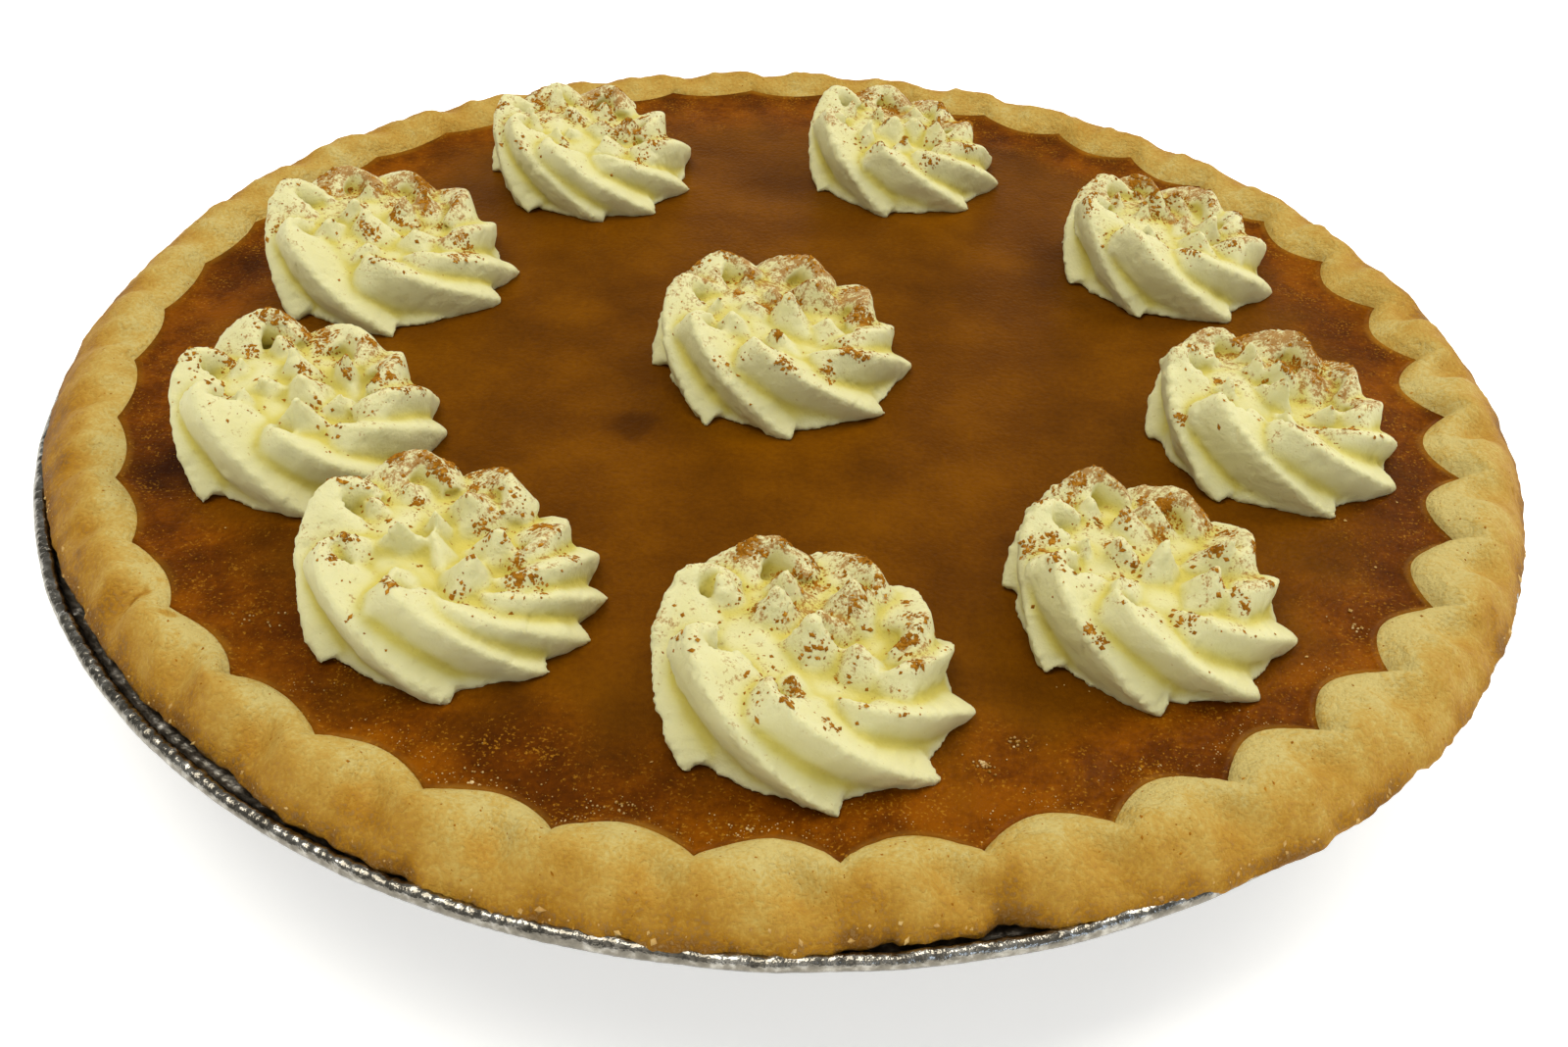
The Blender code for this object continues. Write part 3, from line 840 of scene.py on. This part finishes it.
def swept(path, up, width, depth, edge):
    """A rope whose crest follows a path: rows of points round a soft diamond that hangs under it."""
    along = np.gradient(path, axis=0)
    along = along / np.linalg.norm(along, axis=1, keepdims=True)
    up = up - along * np.sum(up * along, axis=1, keepdims=True)
    up = up / np.linalg.norm(up, axis=1, keepdims=True)
    side = np.cross(along, up)
    across, down = soft_diamond(24, edge)
    return (path[:, None] + up[:, None] * (depth[:, None] * (down[None, :] - 1.0))[..., None]
            + side[:, None] * (width[:, None] * across[None, :])[..., None])


def ridge_rope(middle, radius, tall, foot, picks, crisp):
    """One ridge, from its pointed foot round and up to the crown, where it curls over."""
    rows = np.linspace(0.0, 1.0, 46)
    out, up, turn, lean, thick = [curve_through(rows, RIDGE[:, 0], RIDGE[:, column]) for column in range(1, 6)]
    turn = turn * (1.0 - 0.22 * smooth(math.cos(foot))) * picks.uniform(0.9, 1.08)
    azimuth = foot - np.radians(turn)
    higher = 0.96 + 0.14 * np.cos(azimuth - math.radians(190.0))
    higher -= 0.12 * hump(wrapped(azimuth - math.radians(300.0), 2.0 * math.pi), math.radians(38.0))
    height = tall * up * higher * (1.0 + picks.uniform(-0.06, 0.06) * smooth(rows * 2.0))
    path = ring_points(radius * out * (1.0 + picks.uniform(-0.03, 0.02)), azimuth, SURFACE + height, middle)
    path[:, 0] -= LEAN * np.clip(up, 0.0, 1.0) ** 1.3
    lean = np.radians(lean)
    outward = np.stack([np.cos(azimuth) * np.cos(lean), np.sin(azimuth) * np.cos(lean), np.sin(lean)], axis=-1)
    scale = radius / (22.0 * MM)
    width = RIDGE_WIDTH * scale * thick * picks.uniform(0.88, 1.12)
    return swept(path, outward, width, RIDGE_DEPTH * scale * thick, 1.15 + 0.35 * (1.0 - crisp))


# %% Peaks and dome
def crown_peak(place, base, tall, picks):
    """One upright peak with hollow sides, bent a little, on a soft diamond section."""
    rows = np.linspace(0.0, 1.0, 12)
    spin = picks.uniform(0.0, math.pi)
    across, along = soft_diamond(16, 1.35)
    wide = base * ((1.0 - rows) ** 1.15 * 0.92 + 0.08)
    bend = picks.uniform(-0.22, 0.22, 2) * tall
    x = across[None, :] * wide[:, None]
    y = along[None, :] * wide[:, None] * picks.uniform(0.5, 0.95)
    rings = np.empty((12, 16, 3))
    rings[..., 0] = place[0] + x * math.cos(spin) - y * math.sin(spin) + bend[0] * rows[:, None] ** 2
    rings[..., 1] = place[1] + x * math.sin(spin) + y * math.cos(spin) + bend[1] * rows[:, None] ** 2
    rings[..., 2] = place[2] + tall * rows[:, None]
    return rings


def crown_peaks(middle, radius, tall, count, picks):
    """The peaks where the nozzle broke away: one ring of them, a few inside it and one in the middle."""
    peaks = []
    for out, number, reach in [(0.44, count - 2, 0.95), (0.17, 3, 1.0)]:
        start = picks.uniform(0.0, 2.0 * math.pi)
        for index in range(number):
            turn = start + 2.0 * math.pi / number * (index + picks.uniform(-0.2, 0.2))
            far = radius * (out + picks.uniform(-0.05, 0.05))
            place = (middle[0] - LEAN + far * math.cos(turn), middle[1] + far * math.sin(turn), SURFACE + 0.42 * tall)
            top = tall * reach * picks.uniform(0.84, 1.06) * (1.0 + 0.05 * math.cos(turn - math.radians(190.0)))
            peaks.append(crown_peak(place, radius * picks.uniform(0.28, 0.40), top - 0.42 * tall, picks))
    return peaks


def dome(middle, radius, tall):
    """The plain body of the rosette, under its ridges."""
    turns = 2.0 * math.pi * np.arange(40) / 40
    shares = np.array(DOME)
    rings = ring_of(radius * shares[:, 0], SURFACE + tall * shares[:, 1], middle, turns)
    rings[..., 0] -= 1.3 * LEAN * shares[:, 1, None] ** 1.3
    tilt = 1.0 + 0.18 * np.cos(turns - math.radians(180.0))
    rings[..., 2] = SURFACE + tall * shares[:, 1, None] * tilt
    return rings


# %% Melt overlapping shapes into one skin
def melted(name, shapes, floor, voxel):
    """Join closed shapes, cut flat at the floor, and remesh them as one closed skin."""
    points = []
    faces = []
    for rings in shapes:
        count, columns = rings.shape[:2]
        index = sum(len(block) for block in points) + np.arange(count * columns).reshape(count, columns)
        after = np.roll(index, -1, axis=1)
        faces += np.stack([index[:-1], after[:-1], after[1:], index[1:]], axis=-1).reshape(-1, 4).tolist()
        faces += [index[0, ::-1].tolist(), index[-1].tolist()]
        points.append(rings.reshape(-1, 3))
    points = np.concatenate(points)
    points[:, 2] = np.maximum(points[:, 2], floor)
    raw = bpy.data.meshes.new(name)
    raw.from_pydata(points.tolist(), [], faces)
    piece = bpy.data.objects.new(name, raw)
    bpy.context.collection.objects.link(piece)
    fuse = piece.modifiers.new("melt_together", "REMESH")
    fuse.mode = "VOXEL"
    fuse.voxel_size = voxel
    shaped = piece.evaluated_get(bpy.context.evaluated_depsgraph_get())
    mesh = bpy.data.meshes.new_from_object(shaped)
    piece.modifiers.clear()
    piece.data = mesh
    mesh.name = name
    return piece


def read(items, field, width, kind=np.float32):
    """One property of every item of a mesh as an array with width columns."""
    values = np.empty(len(items) * width, kind)
    items.foreach_get(field, values)
    return values.reshape(-1, width)


def relaxed(points, edges, times):
    """Points moved towards the mean of their neighbours, several times over."""
    first, second = edges.T
    share = np.bincount(first, minlength=len(points)) + np.bincount(second, minlength=len(points))
    for _ in range(times):
        mean = np.stack([
            np.bincount(first, points[second, axis], len(points)) + np.bincount(second, points[first, axis], len(points))
            for axis in range(3)], axis=-1) / share[:, None]
        points = 0.5 * (points + mean)
    return points


# %% Surface of the cream
VOXEL = 0.53 * MM


def rosette_surface(piece, middle, crisp, seed):
    """Soften the melted skin, then tear and pit it; give back how deep in a crease each point lies, for the painted
    shade of the folds.
    """
    mesh = piece.data
    edges = read(mesh.edges, "vertices", 2, np.int32)
    floor = SURFACE - 0.3 * MM
    points = relaxed(read(mesh.vertices, "co", 3).astype(float), edges, 2)
    mesh.vertices.foreach_set("co", points.astype(np.float32).ravel())
    mesh.update()
    out = read(mesh.vertex_normals, "vector", 3)
    # A point that stands proud of its relaxed place is on a crest; one that lies below it is in a fold.
    proud = np.sum((points - relaxed(points, edges, 24)) * out, axis=1)
    torn = 0.30 * rough(points, 5.0 * MM, 2, seed + 3) + 0.10 * rough(points, 1.5 * MM, 2, seed + 5)
    left = 0.5 - 0.5 * np.cos(np.arctan2(points[:, 1] - middle[1], points[:, 0] - middle[0]) - math.radians(20.0))
    teeth = (np.abs(noise(points, 1.0 * MM, seed + 7)) + 0.8 * np.abs(noise(points, 2.6 * MM, seed + 8)) - 0.4)
    teeth = teeth * smooth(proud / (0.35 * MM)) * left * crisp
    pits = smooth((noise(points, 1.3 * MM, seed + 11) - 0.55) * 4.0)
    points = points + out * ((torn + 0.55 * teeth - 0.22 * pits) * MM)[:, None]
    points[:, 2] = np.maximum(points[:, 2], floor)
    mesh.vertices.foreach_set("co", points.astype(np.float32).ravel())
    mesh.shade_smooth()
    mesh.update()
    return points, read(mesh.vertex_normals, "vector", 3).astype(float), smooth(0.35 - proud / (0.5 * MM))


# %% [markdown]
# ### Whipped cream
#
# Whipped cream is a foam of butterfat, so it is pale yellow rather than white. Light enters it and
# comes out again a few millimetres away, which softens the shadows in the folds and turns them yellow.
# Subsurface scattering gives part of that, and the finish also paints the folds darker and yellower as painted shade.
# The surface is matt with a fine foam grain.
# Ground cinnamon also leaves a thin brown dust that is too fine to model grain by grain, so the finish
# draws it as specks wherever the piece is marked as dusted.

# %% Whipped cream
def cream_finish():
    """Whipped cream: matt pale yellow foam with painted shade, darker and yellower in the folds, and a dusting of
    cinnamon.
    """
    made, tree = new_finish("piped_whipped_cream")
    place = add(tree, "ShaderNodeTexCoord").outputs["Object"]
    fold_shade = add(tree, "ShaderNodeAttribute", attribute_name="fold_shade").outputs["Fac"]
    dusted = add(tree, "ShaderNodeAttribute", attribute_name="dusted").outputs["Fac"]
    # Painted shade: the folds are painted darker and more yellow than the crests.
    tone = ramp(tree, fold_shade, [(0.0, "#DAD6A3"), (0.6, "#D2CB86"), (1.0, "#C9BC5C")])
    # Specks of dust are a quarter of a millimetre across.
    specks = add(tree, "ShaderNodeTexNoise", {"Vector": place, "Scale": 2600.0, "Detail": 2.0, "Roughness": 0.7})
    grouped = add(tree, "ShaderNodeTexNoise", {"Vector": place, "Scale": 900.0, "Detail": 2.0, "Roughness": 0.5})
    sum_ = add(tree, "ShaderNodeMath", {0: grouped.outputs["Fac"], 1: specks.outputs["Fac"]}, operation="ADD")
    sum_ = add(tree, "ShaderNodeMath", {0: dusted, 1: 0.55, 2: sum_.outputs[0]}, operation="MULTIPLY_ADD")
    amount = add(tree, "ShaderNodeMapRange", {
        "Value": sum_.outputs[0], "From Min": 1.30, "From Max": 1.55, "To Min": 0.0, "To Max": 0.85,
    })
    spiced = add(tree, "ShaderNodeMix", {"Factor": amount.outputs[0], 6: tone, 7: linear("#9C6614")}, data_type="RGBA")
    foam = add(tree, "ShaderNodeTexNoise", {"Vector": place, "Scale": 1700.0, "Detail": 2.0, "Roughness": 0.6})
    bump = add(tree, "ShaderNodeBump", {"Height": foam.outputs["Fac"], "Strength": 0.5, "Distance": 0.0003})
    shader = add(tree, "ShaderNodeBsdfPrincipled", {
        "Base Color": spiced.outputs[2],
        "Roughness": 0.55,
        "IOR": 1.45,
        "Specular IOR Level": 0.15,
        "Subsurface Weight": 0.25,
        "Subsurface Radius": (1.0, 0.85, 0.45),
        "Subsurface Scale": 0.002,
        "Normal": bump.outputs["Normal"],
    })
    add(tree, "ShaderNodeOutputMaterial", {"Surface": shader.outputs[0]})
    return made


# %% Ten rosettes
# node: azimuths of the pointed feet, height in mm, how crisp the ridges are, how much spice fell on it
ROSETTES = {
    "rosette_01": ((33, 75, 118, 170, 225, 281, 319, 356), 16.0, 1.0, 1.0),
    "rosette_02": ((25, 70, 118, 170, 222, 268, 308, 348), 15.6, 1.0, 1.0),
    "rosette_03": ((2, 34, 80, 130, 184, 238, 288, 328), 15.4, 0.9, 1.15),
    "rosette_04": ((22, 66, 112, 158, 204, 250, 298, 340), 15.0, 0.7, 1.15),
    "rosette_05": ((20, 60, 110, 160, 212, 262, 312, 352), 14.8, 0.8, 1.15),
    "rosette_06": ((30, 78, 130, 185, 240, 282, 312, 345), 15.0, 0.7, 1.1),
    "rosette_07": ((5, 50, 95, 140, 186, 234, 282, 338), 15.4, 0.6, 1.1),
    "rosette_08": ((10, 36, 80, 128, 180, 235, 285, 328), 15.6, 0.6, 0.7),
    "rosette_09": ((4, 30, 58, 112, 170, 225, 280, 318, 340), 15.8, 0.6, 0.8),
    "rosette_10": ((5, 35, 80, 130, 185, 238, 275, 322), 15.2, 0.8, 1.15),
}


def foot_of(node):
    """Middle and foot radius of a rosette, read from its CAD solid."""
    low, high = [np.array(corner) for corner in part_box(node)]
    middle = (low + high)[:2] / 2.0
    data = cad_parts[node].data
    points = np.empty(len(data.vertices) * 3)
    data.vertices.foreach_get("co", points)
    reach = np.hypot(*(points.reshape(-1, 3)[:, :2] - middle).T)
    return tuple(middle), float(reach.max())


def spice_share(points, facing, middle, tall, seed):
    """How much spice lies on each point: most high up, on faces that look up, and towards the back."""
    back = 0.5 + 0.5 * np.cos(np.arctan2(points[:, 1] - middle[1], points[:, 0] - middle[0]) - math.radians(60.0))
    level = (points[:, 2] - SURFACE) / tall
    share = smooth((facing[:, 2] - 0.1) / 0.6) * smooth((level - 0.25) / 0.6) * (0.35 + 0.65 * back)
    return share * (0.8 + 0.5 * rough(points, 5.0 * MM, 2, seed + 9))


def build_rosette(node, finish):
    """Build one rosette; give back what the spice needs to know to settle on it."""
    tips, tall, crisp, spice = ROSETTES[node]
    middle, radius = foot_of(node)
    tall = tall * MM
    seed = 100 * int(node[-2:])
    picks = np.random.default_rng(seed)
    shapes = [ridge_rope(middle, radius, tall, math.radians(tip), picks, crisp) for tip in tips]
    shapes += crown_peaks(middle, radius, tall, len(tips), picks) + [dome(middle, radius, tall)]
    piece = melted("cream_" + node, shapes, SURFACE - 0.3 * MM, VOXEL)
    points, facing, fold_shade = rosette_surface(piece, middle, crisp, seed)
    dusted = np.clip(spice * spice_share(points, facing, middle, tall, seed), 0.0, 1.0)
    # The first mark tells the finish where to paint shade in the folds.
    for mark, values in (("fold_shade", fold_shade), ("dusted", dusted)):
        piece.data.attributes.new(mark, "FLOAT", "POINT").data.foreach_set("value", values.astype(np.float32))
    piece.data.materials.append(finish)
    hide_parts(node)
    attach(piece, "root")
    print(f"{piece.name}: {len(piece.data.polygons)} faces")
    return points, facing, dusted, seed


cream = cream_finish()
piped = [build_rosette(node, cream) for node in sorted(ROSETTES)]

# %% [markdown]
# ## Ground spice
#
# Ground cinnamon is bark ground to flakes of a tenth to half a millimetre. It was shaken over the
# cream, so it lies on the slopes that face up, in clumps. The real grains are modelled: each is a small
# flat eight-sided flake with its own random shape, and all of them share one mesh. A particle
# system would look the same, but its grains aren't part of the mesh.

# %% Ground cinnamon
def cinnamon_finish():
    """Ground cinnamon bark: matt warm brown that differs from flake to flake."""
    made, tree = new_finish("ground_cinnamon")
    place = add(tree, "ShaderNodeTexCoord").outputs["Object"]
    vary = add(tree, "ShaderNodeTexNoise", {"Vector": place, "Scale": 900.0, "Detail": 2.0})
    tone = ramp(tree, vary.outputs["Fac"], [(0.3, "#84520A"), (0.55, "#A26A14"), (0.75, "#C48E2E")])
    shader = add(tree, "ShaderNodeBsdfPrincipled", {"Base Color": tone, "Roughness": 0.9, "Specular IOR Level": 0.1})
    add(tree, "ShaderNodeOutputMaterial", {"Surface": shader.outputs[0]})
    return made


# %% Flakes
FLAKE_FACES = np.array([
    (0, 2, 4), (2, 1, 4), (1, 3, 4), (3, 0, 4), (2, 0, 5), (1, 2, 5), (3, 1, 5), (0, 3, 5),
])
FLAKE_CORNERS = np.array([(1, 0, 0), (-1, 0, 0), (0, 1, 0), (0, -1, 0), (0, 0, 1), (0, 0, -1)], float)


def flakes(name, places, facing, sizes, flatness, finish, picks):
    """One mesh of small irregular flakes, each lying flat on the surface it fell on."""
    count = len(places)
    side = np.cross(facing, picks.normal(size=(count, 3)))
    side = side / np.linalg.norm(side, axis=1, keepdims=True)
    other = np.cross(facing, side)
    scale = picks.uniform(0.55, 1.3, (count, 6, 1)) * sizes[:, None, None]
    local = FLAKE_CORNERS[None] * scale
    local[..., 0] *= picks.uniform(0.9, 1.9, (count, 1))
    local[..., 2] *= flatness
    frames = np.stack([side, other, facing], axis=1)
    points = places[:, None, :] + np.einsum("nij,njk->nik", local, frames)
    faces = FLAKE_FACES[None] + 6 * np.arange(count)[:, None, None]
    mesh = bpy.data.meshes.new(name)
    mesh.from_pydata(points.reshape(-1, 3).tolist(), [], faces.reshape(-1, 3).tolist())
    mesh.materials.append(finish)
    piece = bpy.data.objects.new(name, mesh)
    bpy.context.collection.objects.link(piece)
    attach(piece, "root")
    print(f"{name}: {count} flakes, {len(mesh.polygons)} faces")
    return piece


FLAKES_EACH = 1450
HEAPS_EACH = 34


def heap_points(points, weight, picks, number):
    """Points for small heaps: a centre for each heap, then places close about it."""
    centres = points[picks.choice(len(points), HEAPS_EACH, p=weight)]
    chosen = []
    for centre in centres:
        near = np.exp(-np.sum((points - centre) ** 2, axis=1) / (2.0 * (picks.uniform(0.35, 1.1) * MM) ** 2))
        chosen.append(picks.choice(len(points), number // HEAPS_EACH, p=near / near.sum()))
    return np.concatenate(chosen)


def shake_spice():
    """Pick places for the flakes: more where the cream is dusted, most of them in small heaps."""
    picks = np.random.default_rng(7)
    places = []
    ways = []
    for points, facing, dusted, seed in piped:
        clump = smooth((rough(points, 2.4 * MM, 2, seed + 21) - 0.1) / 0.45)
        weight = dusted ** 1.5 * (0.05 + clump ** 2)
        weight = weight / weight.sum()
        chosen = picks.choice(len(points), FLAKES_EACH // 3, p=weight)
        chosen = np.concatenate([chosen, heap_points(points, weight, picks, 2 * FLAKES_EACH // 3)])
        spread = picks.normal(size=(len(chosen), 3)) * 0.15 * MM
        spread -= facing[chosen] * np.sum(spread * facing[chosen], axis=1, keepdims=True)
        places.append(points[chosen] + spread)
        ways.append(facing[chosen])
    places = np.concatenate(places)
    ways = np.concatenate(ways)
    sizes = (0.13 + 0.31 * picks.uniform(0.0, 1.0, len(places)) ** 2.0) * MM
    flakes("cinnamon_flakes", places, ways, sizes, 0.45, cinnamon_finish(), picks)


shake_spice()

# %% [markdown]
# ## Loose bits and bubbles
#
# A little spice missed the cream and lies on the pastry, a few crumbs fell from the rim, and
# the custard foamed up in small bubbles where it met the lobes. All of these are real mesh too. The
# bubbles are small spheres sunk a little more than half into the custard.

# %% Spice and crumbs on the pastry
def crumb_finish():
    """Baked pastry crumbs: pale gold and matt."""
    made, tree = new_finish("pastry_crumbs")
    place = add(tree, "ShaderNodeTexCoord").outputs["Object"]
    vary = add(tree, "ShaderNodeTexNoise", {"Vector": place, "Scale": 700.0, "Detail": 2.0})
    tone = ramp(tree, vary.outputs["Fac"], [(0.35, "#A87A30"), (0.65, "#D0AE68")])
    shader = add(tree, "ShaderNodeBsdfPrincipled", {"Base Color": tone, "Roughness": 0.8})
    add(tree, "ShaderNodeOutputMaterial", {"Surface": shader.outputs[0]})
    return made


def stray_spice():
    """A few hundred fine specks on the pastry, most of them at the front."""
    picks = np.random.default_rng(11)
    weight = smooth((crust_ways[:, 2] - 0.2) / 0.5) * (0.35 + 0.65 * (crust_top[:, 1] < -20.0 * MM))
    chosen = picks.choice(len(crust_top), 620, p=weight / weight.sum())
    sizes = (0.08 + 0.16 * picks.uniform(0.0, 1.0, len(chosen)) ** 2.0) * MM
    finish = bpy.data.materials["ground_cinnamon"]
    flakes("stray_cinnamon", crust_top[chosen], crust_ways[chosen], sizes, 0.5, finish, picks)


def fallen_crumbs():
    """Crumbs on the custard close to the lobes, and some along the ragged outer edge."""
    picks = np.random.default_rng(13)
    turns = picks.uniform(math.radians(195.0), math.radians(345.0), 24)
    far = picks.uniform(96.0, 107.5, 24) * MM
    on_custard = np.stack([PIE_SHIFT + far * np.cos(turns), far * np.sin(turns), np.full(24, SURFACE + 0.15 * MM)], axis=-1)
    columns = len(crust_top) // CRUST_TOP_RINGS
    outer = crust_top[-6 * columns:]
    front = (outer[:, 1] < -35.0 * MM).astype(float)
    chosen = picks.choice(len(outer), 150, p=front / front.sum())
    places = np.concatenate([on_custard, outer[chosen]])
    ways = np.concatenate([np.tile((0.0, 0.0, 1.0), (24, 1)), crust_ways[-6 * columns:][chosen]])
    sizes = (0.12 + 0.36 * picks.uniform(0.0, 1.0, len(places)) ** 2.5) * MM
    flakes("pastry_crumbs", places, ways, sizes, 0.6, crumb_finish(), picks)


stray_spice()
fallen_crumbs()


# %% Foam bubbles
def foam_finish():
    """Baked custard foam: thin glossy golden skins that catch the light."""
    made, tree = new_finish("custard_foam")
    place = add(tree, "ShaderNodeTexCoord").outputs["Object"]
    vary = add(tree, "ShaderNodeTexNoise", {"Vector": place, "Scale": 600.0, "Detail": 2.0})
    tone = ramp(tree, vary.outputs["Fac"], [(0.35, "#966818"), (0.65, "#D8BC84")])
    shader = add(tree, "ShaderNodeBsdfPrincipled", {"Base Color": tone, "Roughness": 0.2, "IOR": 1.4})
    add(tree, "ShaderNodeOutputMaterial", {"Surface": shader.outputs[0]})
    return made


# x and y of each patch of foam about the pie's middle in mm, how many bubbles and how far they spread
FOAM = [
    (-1.9, -109.2, 24, 2.6), (-20.3, -106.4, 22, 2.2), (-39.0, -103.6, 22, 2.6), (28.9, -95.6, 22, 2.0),
    (33.0, -91.0, 12, 1.6), (48.0, -79.2, 26, 3.2), (57.0, -74.0, 16, 2.4), (86.3, -63.9, 20, 2.8),
    (-74.0, -74.0, 14, 2.4), (18.0, -108.0, 14, 2.2),
]
FROTH = 700                              # tiny bubbles where the custard meets the front lobes


def blow_bubbles():
    """Small spheres in patches, largest in the middle of each patch."""
    picks = np.random.default_rng(17)
    ball = bmesh.new()
    bmesh.ops.create_icosphere(ball, subdivisions=1, radius=1.0)
    corners = np.array([corner.co[:] for corner in ball.verts])
    sides = np.array([[corner.index for corner in face.verts] for face in ball.faces])
    ball.free()
    centres = []
    sizes = []
    for x, y, number, spread in FOAM:
        shift = picks.normal(size=(number, 2)) * (spread, 0.45 * spread)
        centres.append(np.column_stack([PIE_SHIFT + (x + shift[:, 0]) * MM, (y + shift[:, 1]) * MM]))
        near = np.exp(-np.hypot(*shift.T) / spread)
        sizes.append((0.10 + 0.30 * near * picks.uniform(0.2, 1.0, number)) * MM)
    azimuth, place, number = flute_columns(40)
    front = np.flatnonzero((azimuth % (2.0 * math.pi) > math.radians(232.0)) & (azimuth % (2.0 * math.pi) < math.radians(318.0)))
    chosen = picks.choice(front, FROTH)
    line = inner_radius(place, number, azimuth)[chosen] - 0.2 * MM - picks.exponential(1.6 * MM, FROTH)
    centres.append(np.column_stack([PIE_SHIFT + line * np.cos(azimuth[chosen]), line * np.sin(azimuth[chosen])]))
    sizes.append((0.05 + 0.11 * picks.uniform(0.0, 1.0, FROTH) ** 2.0) * MM)
    centres = np.concatenate(centres)
    sizes = np.concatenate(sizes)
    middles = np.column_stack([centres, SURFACE + 0.08 * MM - 0.25 * sizes])
    points = middles[:, None, :] + corners[None] * sizes[:, None, None]
    faces = sides[None] + len(corners) * np.arange(len(sizes))[:, None, None]
    mesh = bpy.data.meshes.new("foam_bubbles")
    mesh.from_pydata(points.reshape(-1, 3).tolist(), [], faces.reshape(-1, 3).tolist())
    mesh.shade_smooth()
    mesh.materials.append(foam_finish())
    piece = bpy.data.objects.new("foam_bubbles", mesh)
    bpy.context.collection.objects.link(piece)
    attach(piece, "root")
    print("bubbles:", len(sizes))


blow_bubbles()
